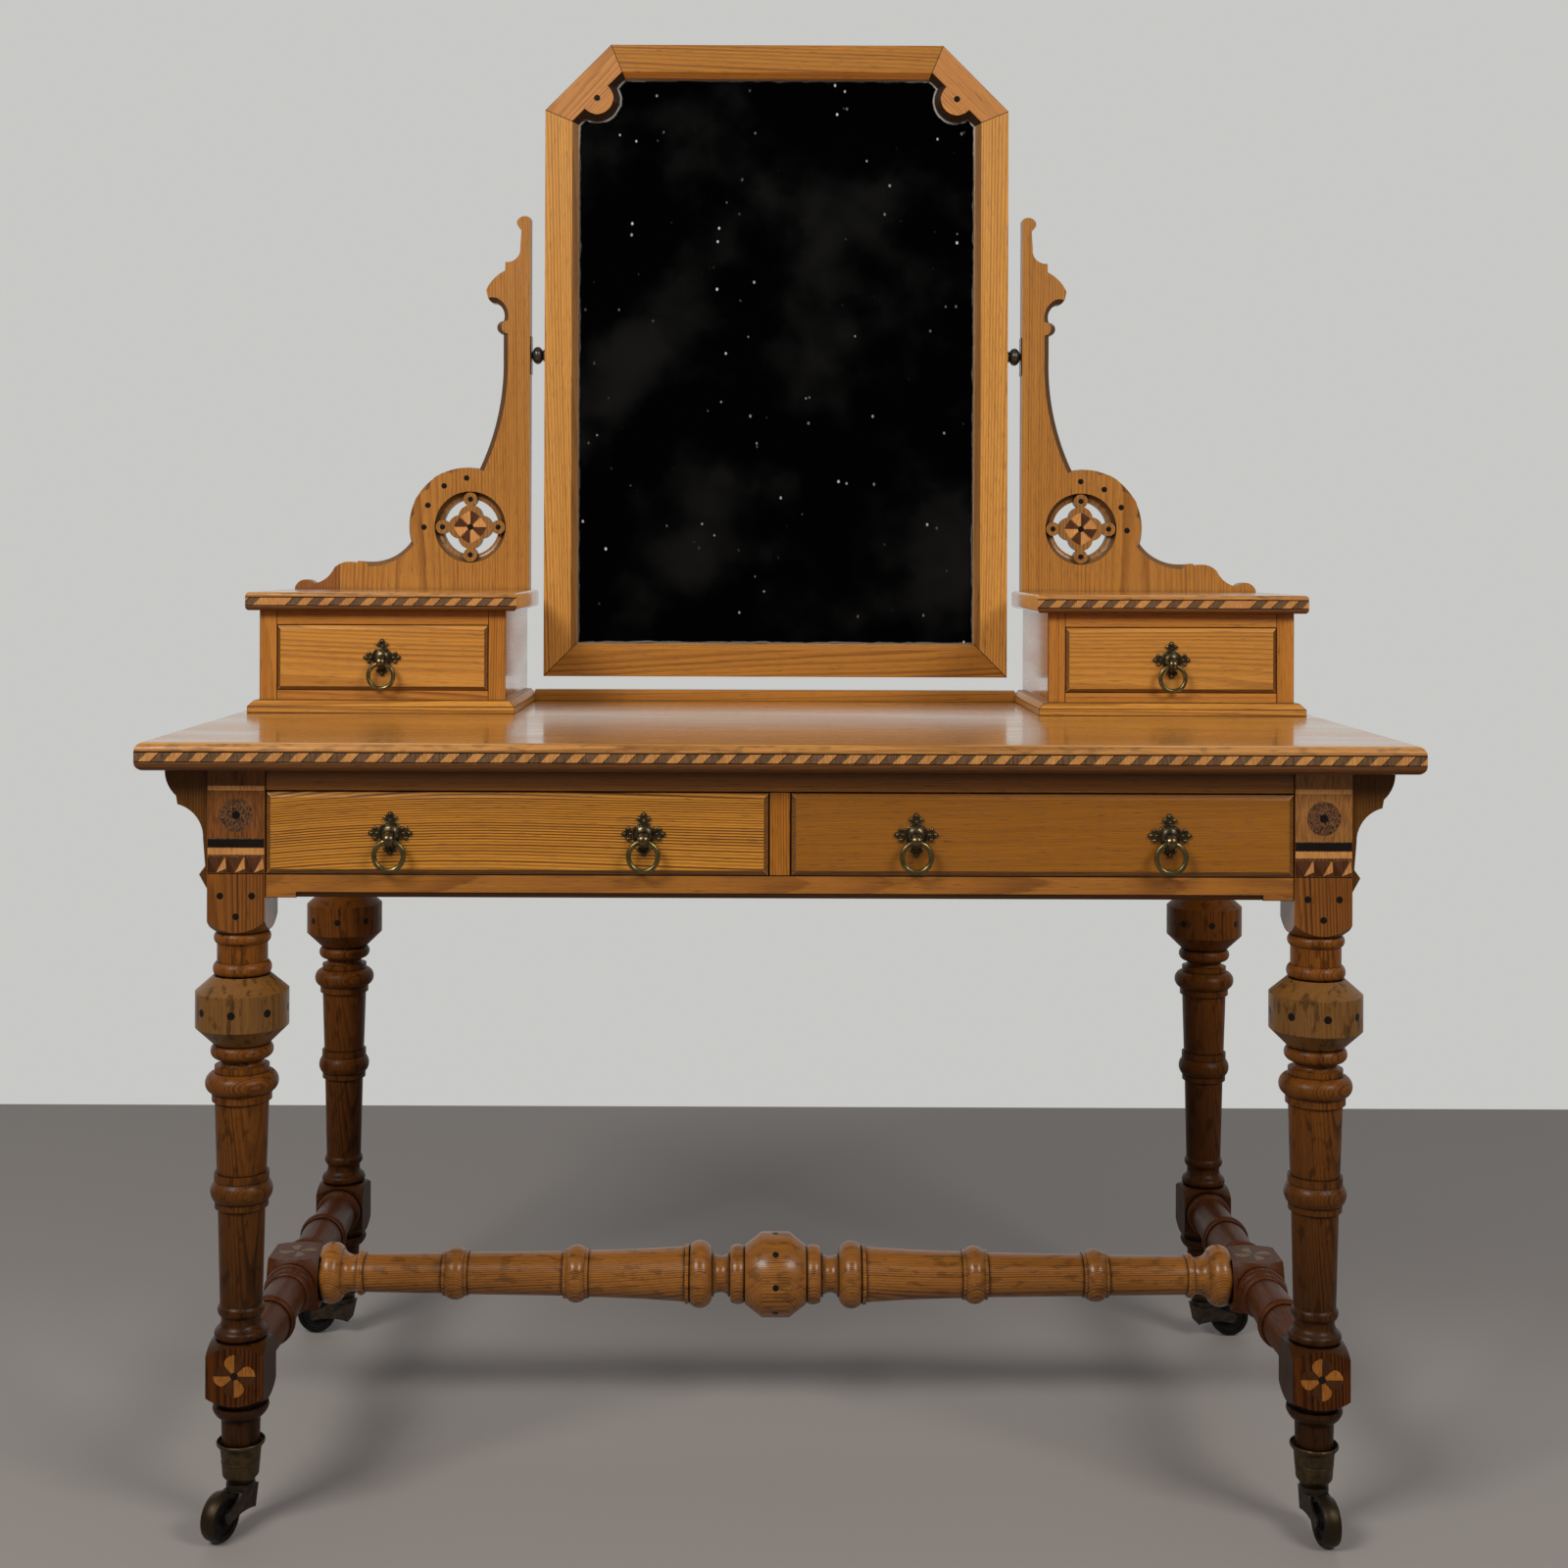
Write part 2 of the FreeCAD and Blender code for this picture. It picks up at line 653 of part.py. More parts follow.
# Case of a trinket box: boards behind a face frame of stiles and rails, with guide strips for the drawer
def make_box_case():
    left = box_middle_x - box_width / 2
    right = box_middle_x + box_width / 2
    frame_back = box_front_y + box_frame_thickness
    back_inner = box_back_y - box_back_board
    shelf_top = box_bottom + box_bottom_rail_height - sliding_gap
    opening_left = left + box_stile_width
    opening_right = right - box_stile_width
    rail_low = box_top - box_top_rail_height
    guide_low = shelf_top
    guide_high = shelf_top + box_guide_height
    guide_left = opening_left - box_guide_width
    guide_right = opening_right + box_guide_width
    return [
        block(left, left + box_board, frame_back, box_back_y, box_bottom, box_top),
        block(right - box_board, right, frame_back, box_back_y, box_bottom, box_top),
        block(left + box_board, right - box_board, back_inner, box_back_y, box_bottom, box_top),
        block(left + box_board, right - box_board, frame_back, back_inner, box_bottom, shelf_top),
        block(left, opening_left, box_front_y, frame_back, box_bottom, box_top),
        block(opening_right, right, box_front_y, frame_back, box_bottom, box_top),
        block(opening_left, opening_right, box_front_y, frame_back, box_bottom, shelf_top),
        block(opening_left, opening_right, box_front_y, frame_back, rail_low, box_top),
        block(guide_left, opening_left, frame_back, back_inner, guide_low, guide_high),
        block(opening_right, guide_right, frame_back, back_inner, guide_low, guide_high),
    ]


def make_plinth():
    half = box_width / 2 + plinth_overhang
    board = block(box_middle_x - half, box_middle_x + half, box_front_y - plinth_overhang, box_back_y,
                  top_height, box_bottom)

    def is_chamfered(box):
        at_top = box.ZMin > box_bottom - same_place
        at_back = box.YMin > box_back_y - same_place
        return at_top and not at_back

    return board.makeChamfer(plinth_chamfer, edges_where(board, is_chamfered))


def slab_front_y():
    return box_front_y - slab_overhang


def make_slab():
    half = box_width / 2 + slab_overhang
    board = block(box_middle_x - half, box_middle_x + half, slab_front_y(), back_y, box_top, harp_base)

    def is_rounded(box):
        level = box.ZLength < same_place
        at_back = box.YMin > back_y - same_place
        return level and not at_back

    board = board.makeFillet(slab_edge_radius, edges_where(board, is_rounded))
    return board.cut(banding_strip(box_middle_x, 2 * half, slab_front_y(), (box_top + harp_base) / 2))


def make_bandings():
    slab_width = box_width + 2 * slab_overhang
    slab_band = banding_strip(box_middle_x, slab_width, slab_front_y(), (box_top + harp_base) / 2)
    return [
        banding_strip(0, top_width, front_y, (top_under + top_height) / 2),
        slab_band,
        to_other_side(slab_band),
    ]


def make_gallery():
    half = box_middle_x - box_width / 2 - plinth_overhang
    high_y = back_y - gallery_back_inset
    rail = block(-half, half, high_y - gallery_thickness, high_y, top_height, top_height + gallery_height)

    def is_front_arris(box):
        at_top = box.ZMin > top_height + gallery_height - same_place
        return at_top and box.YMax < high_y - same_place

    return rail.makeFillet(gallery_edge_radius, edges_where(rail, is_front_arris))


# Drawer front with a bevel round its raised field; y_front is the plane of its edges
def make_drawer_front(x_low, x_high, y_front, z_low, z_high, thickness, rise, bevel_width):
    slab = block(x_low, x_high, y_front, y_front + thickness, z_low, z_high)
    outer = [Vec(x_low, y_front, z_low), Vec(x_high, y_front, z_low), Vec(x_high, y_front, z_high),
             Vec(x_low, y_front, z_high)]
    middle = Vec((x_low + x_high) / 2, 0, (z_low + z_high) / 2)
    inner = [Vec(p.x + math.copysign(bevel_width, middle.x - p.x), y_front - rise,
                 p.z + math.copysign(bevel_width, middle.z - p.z)) for p in outer]
    wires = [Part.makePolygon(outer + [outer[0]]), Part.makePolygon(inner + [inner[0]])]
    field = Part.makeLoft(wires, True, True)
    return slab.fuse(field).removeSplitter()


# Four boards of a drawer behind its front, as separate solids
def make_drawer_box(x_low, x_high, y_front, y_back, z_low, height, board, floor_thickness, floor_lift):
    z_high = z_low + height
    floor_low = z_low + floor_lift
    return [
        block(x_low, x_low + board, y_front, y_back, z_low, z_high),
        block(x_high - board, x_high, y_front, y_back, z_low, z_high),
        block(x_low + board, x_high - board, y_back - board, y_back, z_low, z_high),
        block(x_low + board, x_high - board, y_front, y_back - board, floor_low, floor_low + floor_thickness),
    ]


def long_drawer_span():
    return divider_width / 2 + loose_gap, opening_half - loose_gap


def make_long_drawer():
    x_low, x_high = long_drawer_span()
    z_low = drawer_low + sliding_gap
    front_back = rail_front_y + drawer_front_thickness
    front = make_drawer_front(x_low, x_high, rail_front_y, z_low, drawer_high - loose_gap,
                              drawer_front_thickness, drawer_field_rise, drawer_bevel_width)
    boards = make_drawer_box(x_low, x_high, front_back, drawer_back_y, z_low,
                             drawer_side_height, drawer_side_thickness, drawer_bottom_thickness,
                             drawer_bottom_lift)
    return front, boards


def make_box_drawer():
    half = box_width / 2 - box_stile_width - loose_gap
    x_low = box_middle_x - half
    x_high = box_middle_x + half
    z_low = box_bottom + box_bottom_rail_height
    z_high = box_top - box_top_rail_height - loose_gap
    front = make_drawer_front(x_low, x_high, box_front_y, z_low, z_high, box_frame_thickness,
                              box_drawer_rise, box_drawer_bevel_width)
    boards = make_drawer_box(x_low, x_high, box_front_y + box_frame_thickness,
                             box_front_y + box_drawer_length, z_low, box_drawer_side_height,
                             box_drawer_board, box_drawer_bottom,
                             drawer_bottom_lift)
    return front, boards


# Ring pull about the boss centre, its back on the plane y = 0
def make_pull_plate():
    plate = cylinder_y(pull_boss_radius, 0, 0, -pull_plate_thickness, 0)
    discs = []
    for quarter in range(4):
        turn = math.radians(quarter * quarter_turn)
        along = Vec(math.cos(turn), 0, math.sin(turn))
        across = Vec(-math.sin(turn), 0, math.cos(turn))
        for side in (-1, 1):
            place = along * pull_finial_reach + across * (side * pull_finial_radius)
            discs.append(cylinder_y(pull_finial_radius, place.x, place.z, -pull_plate_thickness, 0))
        tip = along * pull_tip_reach
        discs.append(cylinder_y(pull_tip_radius, tip.x, tip.z, -pull_plate_thickness, 0))
        stem = block(0, pull_finial_reach, -pull_plate_thickness, 0, -pull_finial_radius, pull_finial_radius)
        stem.rotate(Vec(0, 0, 0), Vec(0, -1, 0), quarter * quarter_turn)
        discs.append(stem)
    dome_face = Part.Face(Part.Wire([
        line(Vec(0, -pull_plate_thickness, 0), Vec(pull_dome_radius, -pull_plate_thickness, 0)),
        arc(Vec(pull_dome_radius, -pull_plate_thickness, 0),
            Vec(pull_dome_radius / math.sqrt(2), -pull_plate_thickness - pull_dome_height / math.sqrt(2), 0),
            Vec(0, -pull_plate_thickness - pull_dome_height, 0)),
        line(Vec(0, -pull_plate_thickness - pull_dome_height, 0), Vec(0, -pull_plate_thickness, 0)),
    ]))
    dome = dome_face.revolve(Vec(0, 0, 0), Vec(0, 1, 0), full_turn)
    ball = Part.makeSphere(pull_ball_radius, Vec(0, -pull_ball_forward, -pull_ball_drop))
    half = pull_ball_width / 2
    reach = pull_ball_radius + pull_ball_forward + overrun
    knuckle = ball.common(block(-half, half, -reach, -pull_plate_thickness, -reach, reach))
    shape = plate.multiFuse(discs + [dome, knuckle])
    eye = cylinder_x(pull_eye_radius, -pull_ball_forward, -ring_top_drop, -half - overrun, half + overrun)
    return shape.cut(eye).removeSplitter()


def make_ring():
    return Part.makeTorus(ring_radius, ring_wire_radius,
                          Vec(0, -pull_ball_forward, -ring_top_drop - ring_radius), Vec(0, 1, 0))


# Outline of a harp in its own plane, x out from the inner edge and z up from the base. The front arris
# steps back by the chamfer along the hollow stretches.
def harp_outline(y, chamfer):
    def place(share, lean=(0, 0)):
        return Vec(share[0] * harp_height + lean[0] * chamfer, y, share[1] * harp_height + lean[1] * chamfer)

    def stretch(rows, start, edges):
        for kind, *shares, lean in rows:
            end = place(shares[-1], lean)
            if kind == "line":
                edges.append(line(start, end))
            else:
                edges.append(arc(start, place(shares[0], lean), end))
            start = end
        return start

    top = Vec(0, y, harp_shares[0][1][1] * harp_height - harp_knob_drop)
    edges = [line(Vec(0, y, 0), top)]
    start = stretch(harp_shares, top, edges)
    round_out = round_end_share * harp_height
    drop = math.sqrt(round_radius ** 2 - (round_out - wheel_centre_out) ** 2)
    lean = chamfer / math.sqrt(2)
    round_end = Vec(round_out - lean, y, wheel_centre_up - drop - lean)
    diagonal = round_radius / math.sqrt(2)
    crown = Vec(wheel_centre_out + diagonal, y, wheel_centre_up + diagonal)
    edges.append(arc(start, crown, round_end))
    start = stretch(foot_of_harp_shares, round_end, edges)
    edges.append(line(start, Vec(0, y, 0)))
    return Part.Wire(edges)


# Cutter of the hollowed ring round the pierced wheel, about the wheel's centre
def wheel_cove():
    out, deep = cove_shares
    edge = Vec(pierced_radius, 0, 0)
    middle = Vec(pierced_inner_radius + out * (pierced_radius - pierced_inner_radius),
                 deep * pierced_cove_depth, 0)
    end = Vec(pierced_inner_radius, pierced_cove_depth, 0)
    low = Vec(0, pierced_cove_depth, 0)
    profile = Part.Wire([line(Vec(0, 0, 0), edge), arc(edge, middle, end), line(end, low),
                         line(low, Vec(0, 0, 0))])
    return Part.Face(profile).revolve(Vec(0, 0, 0), Vec(0, 1, 0), full_turn)


# The pierced wheel: a hollowed ring round a rosette of four foils with a roundel at each point
def cut_pierced_wheel(board):
    x = wheel_centre_out
    z = wheel_centre_up
    through = cylinder_y(pierced_inner_radius, x, z, -overrun, harp_thickness + overrun)
    cove = wheel_cove()
    cove.translate(Vec(x, 0, z))
    front = rosette_recess
    back = harp_thickness - rosette_back
    pieces = []
    for quarter in range(4):
        turn = math.radians(quarter * quarter_turn)
        out = math.cos(turn)
        up = math.sin(turn)
        for radius, offset in ((foil_radius, foil_offset), (roundel_radius, roundel_offset)):
            pieces.append(cylinder_y(radius, x + out * offset, z + up * offset, front, back))
    rosette = pieces[0].multiFuse(pieces[1:])
    return board.cut(through.fuse(cove)).fuse(rosette)


# Chips carved out of the rim of the round, between its scallops
def cut_chips(board):
    centre = Vec(wheel_centre_out, -overrun, wheel_centre_up)
    places = []
    for angle in scallop_angles:
        turn = math.radians(angle)
        out = Vec(math.cos(turn), 0, math.sin(turn))
        places.append((centre + out * scallop_offset, centre + out * (round_radius + overrun)))
    for (low, low_rim), (high, high_rim) in zip(places, places[1:]):
        chip = polygon([low, low_rim, high_rim, high]).extrude(Vec(0, chip_depth + overrun, 0))
        for place in (low, high):
            chip = chip.cut(cylinder_y(scallop_radius, place.x, place.z, -overrun, chip_depth + overrun))
        board = board.cut(chip)
    return board


def make_harp():
    chamfered = Part.makeLoft([harp_outline(harp_chamfer, 0), harp_outline(0, harp_chamfer)], True, True)
    square = Part.Face(harp_outline(harp_chamfer, 0)).extrude(Vec(0, harp_thickness - harp_chamfer, 0))
    board = square.fuse(chamfered)
    board = cut_chips(cut_pierced_wheel(board)).removeSplitter()
    board.translate(Vec(harp_inner_x, harp_front_y, harp_base))
    bore = cylinder_x(pivot_pin_diameter / 2 + running_gap, pivot_y, pivot_height,
                      harp_inner_x - overrun, harp_inner_x + pivot_pin_length)
    return board.cut(bore)


def make_pivot_plate():
    half = pivot_plate_width / 2
    plate = block(harp_inner_x - pivot_plate_thickness, harp_inner_x, pivot_y - half, pivot_y + half,
                  pivot_height - pivot_plate_height / 2, pivot_height + pivot_plate_height / 2)
    hole = cylinder_x(pivot_pin_diameter / 2 + running_gap, pivot_y, pivot_height,
                      harp_inner_x - pivot_plate_thickness - overrun, harp_inner_x + overrun)
    return plate.cut(hole)


# Outline of the mirror at a distance in from its outer edges, in its plane
def mirror_points(inset):
    half = mirror_width / 2 - inset
    corner = mirror_corner_cut + inset * math.sqrt(2) - inset
    bottom = mirror_bottom + inset
    high = mirror_top - inset
    return [
        Vec(-half, 0, bottom), Vec(half, 0, bottom), Vec(half, 0, mirror_top - corner),
        Vec(mirror_width / 2 - corner, 0, high), Vec(corner - mirror_width / 2, 0, high),
        Vec(-half, 0, mirror_top - corner),
    ]


# Edge of the sight opening, with a round lobe of the corner piece standing into it at each upper corner
def sight_wire(inset, y):
    points = mirror_points(inset)
    radius = lobe_radius + inset - member_face
    centre = Vec(mirror_width / 2 - lobe_side_distance, 0, mirror_top - lobe_top_distance)
    corner_low = points[2]
    corner_high = points[3]
    along = (corner_high - corner_low).normalize()
    foot = corner_low + along * (centre - corner_low).dot(along)
    inward = Vec(-1, 0, -1).normalize()
    offset = (foot - centre).dot(inward)
    reach = math.sqrt(radius ** 2 - offset ** 2)
    lobe_low = foot - along * reach
    lobe_high = foot + along * reach
    lobe_tip = centre + inward * radius
    right = [corner_low, lobe_low, lobe_tip, lobe_high, corner_high]
    left = [Vec(-p.x, 0, p.z) for p in reversed(right)]

    def at(point):
        return Vec(point.x, y, point.z)

    edges = [line(at(points[0]), at(points[1])), line(at(points[1]), at(right[0]))]
    for side in (right, left):
        edges.append(line(at(side[0]), at(side[1])))
        edges.append(arc(at(side[1]), at(side[2]), at(side[3])))
        edges.append(line(at(side[3]), at(side[4])))
        if side is right:
            edges.append(line(at(right[4]), at(left[0])))
    edges.append(line(at(left[4]), at(points[0])))
    return Part.Wire(edges)


def prism(points, y_low, y_high):
    shape = polygon([Vec(p.x, y_low, p.z) for p in points])
    return shape.extrude(Vec(0, y_high - y_low, 0))


# Everything that is cut away inside the frame: bevel, sight opening, and the rebate for glass and backboard
def mirror_cutter():
    face_y = mirror_front_y
    sight_inset = member_face + member_bevel
    bevel_end = sight_wire(sight_inset, face_y + bevel_depth)
    bevel = Part.makeLoft([sight_wire(member_face, face_y), bevel_end], True, True)
    sight = Part.Face(bevel_end).extrude(Vec(0, mirror_thickness, 0))
    rebate = prism(mirror_points(sight_inset - glass_rebate), face_y + glass_front_depth,
                   face_y + mirror_thickness + overrun)
    return bevel.fuse(sight).fuse(rebate)


# Mitred members of the frame, each cut from the same ring so that they meet face to face
def make_mirror_members():
    outer = mirror_points(0)
    depth = member_face + member_bevel + lobe_radius + overrun
    inner = mirror_points(depth)
    cutter = mirror_cutter()
    names = ("rail_bottom", "stile_right", "corner_right", "rail_top", "corner_left", "stile_left")
    members = {}
    for i, name in enumerate(names):
        after = (i + 1) % len(names)
        shape = prism([outer[i], outer[after], inner[after], inner[i]], mirror_front_y,
                      mirror_front_y + mirror_thickness)
        members[name] = shape.cut(cutter)
    return members


def make_glass():
    inset = member_face + member_bevel - glass_rebate + glass_fit
    low = mirror_front_y + glass_front_depth
    return prism(mirror_points(inset), low, low + glass_thickness)


def make_backboard():
    inset = member_face + member_bevel - glass_rebate + glass_fit
    low = mirror_front_y + glass_front_depth + glass_thickness
    return prism(mirror_points(inset), low, low + backboard_thickness)


# Turned ball between the frame and the harp, on a collar, with the pin that turns in the harp
def make_pivot():
    side = mirror_width / 2
    collar_end = side + pivot_collar_thickness
    plate_face = harp_inner_x - pivot_plate_thickness - sliding_gap
    pin_end = harp_inner_x + pivot_pin_length - pivot_pin_end_gap
    middle = (collar_end + plate_face) / 2
    collar = pivot_collar_diameter / 2
    ball = pivot_ball_diameter / 2
    pin = pivot_pin_diameter / 2
    neck = pivot_neck_diameter / 2
    outline = [
        line(Vec(side, 0, 0), Vec(side, collar, 0)),
        line(Vec(side, collar, 0), Vec(collar_end, collar, 0)),
        line(Vec(collar_end, collar, 0), Vec(collar_end, neck, 0)),
        arc(Vec(collar_end, neck, 0), Vec(middle, ball, 0), Vec(plate_face, neck, 0)),
        line(Vec(plate_face, neck, 0), Vec(plate_face, pin, 0)),
        line(Vec(plate_face, pin, 0), Vec(pin_end, pin, 0)),
        line(Vec(pin_end, pin, 0), Vec(pin_end, 0, 0)),
        line(Vec(pin_end, 0, 0), Vec(side, 0, 0)),
    ]
    pivot = Part.Face(Part.Wire(outline)).revolve(Vec(0, 0, 0), Vec(1, 0, 0), full_turn)
    pivot.translate(Vec(0, pivot_y, pivot_height))
    return pivot


def save(name, shapes):
    shape = shapes[0] if len(shapes) == 1 else Part.makeCompound(shapes)
    shape.exportStep("parts/" + name + ".step")


def save_pair(name, right):
    save(name + "_right", right)
    save(name + "_left", [to_other_side(shape) for shape in right])


def placed(shape, place, turn=0.0):
    moved = shape.copy()
    moved.rotate(Vec(0, 0, 0), Vec(0, 0, 1), turn)
    moved.translate(place)
    return moved


save("desk_top", [make_desk_top()])
save("edge_banding", make_bandings())
save("gallery_rail", [make_gallery()])
save("frieze_top_rail", [make_top_rail()])
save("frieze_bottom_rail", [make_bottom_rail()])
save("drawer_divider", [make_divider()])
save("frieze_back_rail", [make_back_rail()])
save("frieze_side_rails", [make_side_rail(), to_other_side(make_side_rail())])
save("drawer_runners", make_runners())
save("side_brackets", make_brackets())

leg = make_leg()
cup = make_cup()
fork = make_fork()
wheel = make_wheel()
for corner, place in leg_places().items():
    save("leg_" + corner, [placed(leg, place)])
    save("castor_fork_" + corner, [placed(fork, place, castor_turns[corner])])
    save("castor_wheel_" + corner, [placed(wheel, place, castor_turns[corner])])
save("castor_cups", [placed(cup, place) for place in leg_places().values()])

save_pair("side_stretcher", [make_side_stretcher()])
save("long_stretcher", [make_long_stretcher()])

save_pair("box_case", make_box_case())
save("box_plinths", [make_plinth(), to_other_side(make_plinth())])
save_pair("box_top", [make_slab()])
save_pair("harp", [make_harp()])
save("pivot_plates", [make_pivot_plate(), to_other_side(make_pivot_plate())])

pull_plate = make_pull_plate()
ring = make_ring()
long_front, long_boards = make_long_drawer()
save_pair("drawer_front", [long_front])
save_pair("drawer_box", long_boards)
long_low, long_high = long_drawer_span()
long_middle = (long_low + long_high) / 2
long_pull_reach = (long_high - long_low) * drawer_pull_share / 2
long_pull_height = (drawer_low + drawer_high) / 2
long_face = rail_front_y - drawer_field_rise
for side, sign in (("left", -1), ("right", 1)):
    middle = sign * long_middle
    places = [Vec(middle + end * long_pull_reach, long_face, long_pull_height) for end in (-1, 1)]
    save("drawer_pulls_" + side, [placed(pull_plate, place) for place in places])
    for letter, place in zip("ab", places):
        save("drawer_ring_" + side + "_" + letter, [placed(ring, place)])

box_front, box_boards = make_box_drawer()
save_pair("box_drawer_front", [box_front])
save_pair("box_drawer_box", box_boards)
box_face = box_front_y - box_drawer_rise
box_pull_height = (box_bottom + box_bottom_rail_height + box_top - box_top_rail_height) / 2
for side, sign in (("left", -1), ("right", 1)):
    place = Vec(sign * box_middle_x, box_face, box_pull_height)
    save("box_pull_" + side, [placed(pull_plate, place)])
    save("box_ring_" + side, [placed(ring, place)])

members = make_mirror_members()
save("mirror_stiles", [members["stile_left"], members["stile_right"]])
save("mirror_corners", [members["corner_left"], members["corner_right"]])
save("mirror_rail_top", [members["rail_top"]])
save("mirror_rail_bottom", [members["rail_bottom"]])
save("mirror_glass", [make_glass()])
save("mirror_backboard", [make_backboard()])
pivot = make_pivot()
other_pivot = pivot.copy()
other_pivot.rotate(Vec(0, pivot_y, 0), Vec(0, 0, 1), quarter_turn * 2)
save("mirror_pivots", [pivot, other_pivot])
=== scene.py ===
import math
import random
import bpy
import bmesh
from mathutils import Matrix, Vector


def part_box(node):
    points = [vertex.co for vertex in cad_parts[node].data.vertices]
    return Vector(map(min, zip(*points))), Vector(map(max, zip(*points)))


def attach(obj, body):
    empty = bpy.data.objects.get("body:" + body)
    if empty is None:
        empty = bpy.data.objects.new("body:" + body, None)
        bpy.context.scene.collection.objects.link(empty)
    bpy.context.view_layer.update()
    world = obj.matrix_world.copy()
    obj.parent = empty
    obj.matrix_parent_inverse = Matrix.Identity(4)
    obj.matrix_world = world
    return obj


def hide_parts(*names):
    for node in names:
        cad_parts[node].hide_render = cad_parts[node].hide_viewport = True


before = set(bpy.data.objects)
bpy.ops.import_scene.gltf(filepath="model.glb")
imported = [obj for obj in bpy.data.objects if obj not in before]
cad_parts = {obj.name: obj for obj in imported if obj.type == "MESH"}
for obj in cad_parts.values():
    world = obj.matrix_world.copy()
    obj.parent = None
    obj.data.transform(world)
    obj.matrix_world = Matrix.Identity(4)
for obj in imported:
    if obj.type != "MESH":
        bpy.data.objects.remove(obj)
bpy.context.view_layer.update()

# Desk top: one wide board of pitch pine, 27 mm thick, with rounded front and end arrises. A shallow groove
# along its front edge takes the rope banding. It is varnished honey gold and lies on the frieze and the legs.
mm = 0.001


class Strand:
    """A value or colour on its way through a finish; sums on it add Math nodes."""

    def __init__(self, finish, out):
        self.finish = finish
        self.out = out

    def math(self, operation, *values):
        return self.finish.node("ShaderNodeMath", {"operation": operation}, dict(enumerate(values)))

    def __add__(self, other):
        return self.math("ADD", self, other)

    def __sub__(self, other):
        return self.math("SUBTRACT", self, other)

    def __rsub__(self, other):
        return self.math("SUBTRACT", other, self)

    def __mul__(self, other):
        return self.math("MULTIPLY", self, other)

    def __truediv__(self, other):
        return self.math("DIVIDE", self, other)

    def __pow__(self, other):
        return self.math("POWER", self, other)

    def __gt__(self, other):
        return self.math("GREATER_THAN", self, other)

    __radd__ = __add__
    __rmul__ = __mul__


class Finish:
    """A material, or the light round the room, with one method that adds any node to it."""

    def __init__(self, name, holder=None):
        self.holder = holder or bpy.data.materials.new(name)
        self.holder.use_nodes = True
        self.tree = self.holder.node_tree
        self.tree.nodes.clear()

    def node(self, kind, settings=None, values=None, out=0):
        node = self.tree.nodes.new(kind)
        for key, value in (settings or {}).items():
            setattr(node, key, value)
        for key, value in (values or {}).items():
            if isinstance(value, Strand):
                self.tree.links.new(value.out, node.inputs[key])
            else:
                node.inputs[key].default_value = value
        return Strand(self, node.outputs[out]) if node.outputs else None

    def mix(self, low, high, share):
        return self.node("ShaderNodeMix", {"data_type": "RGBA"}, {0: share, 6: low, 7: high}, 2)

    def spot(self):
        return self.node("ShaderNodeTexCoord", None, None, "Object")

    def axis(self, vector, number):
        return self.node("ShaderNodeSeparateXYZ", None, {0: vector}, number)

    def scaled(self, vector, *sizes):
        by = sizes if len(sizes) == 3 else sizes * 3
        return self.node("ShaderNodeVectorMath", {"operation": "MULTIPLY"}, {0: vector, 1: by})

    def shade(self, colour, amount):
        grey = self.node("ShaderNodeCombineXYZ", None, {0: amount, 1: amount, 2: amount})
        return self.node("ShaderNodeVectorMath", {"operation": "MULTIPLY"}, {0: colour, 1: grey})

    def noise(self, vector, detail=2.0):
        return self.node("ShaderNodeTexNoise", None, {"Vector": vector, "Scale": 1.0, "Detail": detail})

    def ramp(self, value, low, high, to_low=0.0, to_high=1.0, kind="SMOOTHSTEP"):
        return self.node("ShaderNodeMapRange", {"interpolation_type": kind},
                         {0: value, 1: low, 2: high, 3: to_low, 4: to_high})

    def crevices(self, reach, alone=True):
        return self.node("ShaderNodeAmbientOcclusion", {"samples": 6, "only_local": alone},
                         {"Distance": reach}, "AO")

    def bump(self, height, depth, strength=0.6):
        return self.node("ShaderNodeBump", None, {"Height": height, "Distance": depth, "Strength": strength})

    def surface(self, **sockets):
        named = {key.replace("_", " "): value for key, value in sockets.items()}
        shader = self.node("ShaderNodeBsdfPrincipled", None, named)
        self.node("ShaderNodeOutputMaterial", None, {"Surface": shader})
        return self.holder


def solid(colour):
    return (*colour, 1.0)


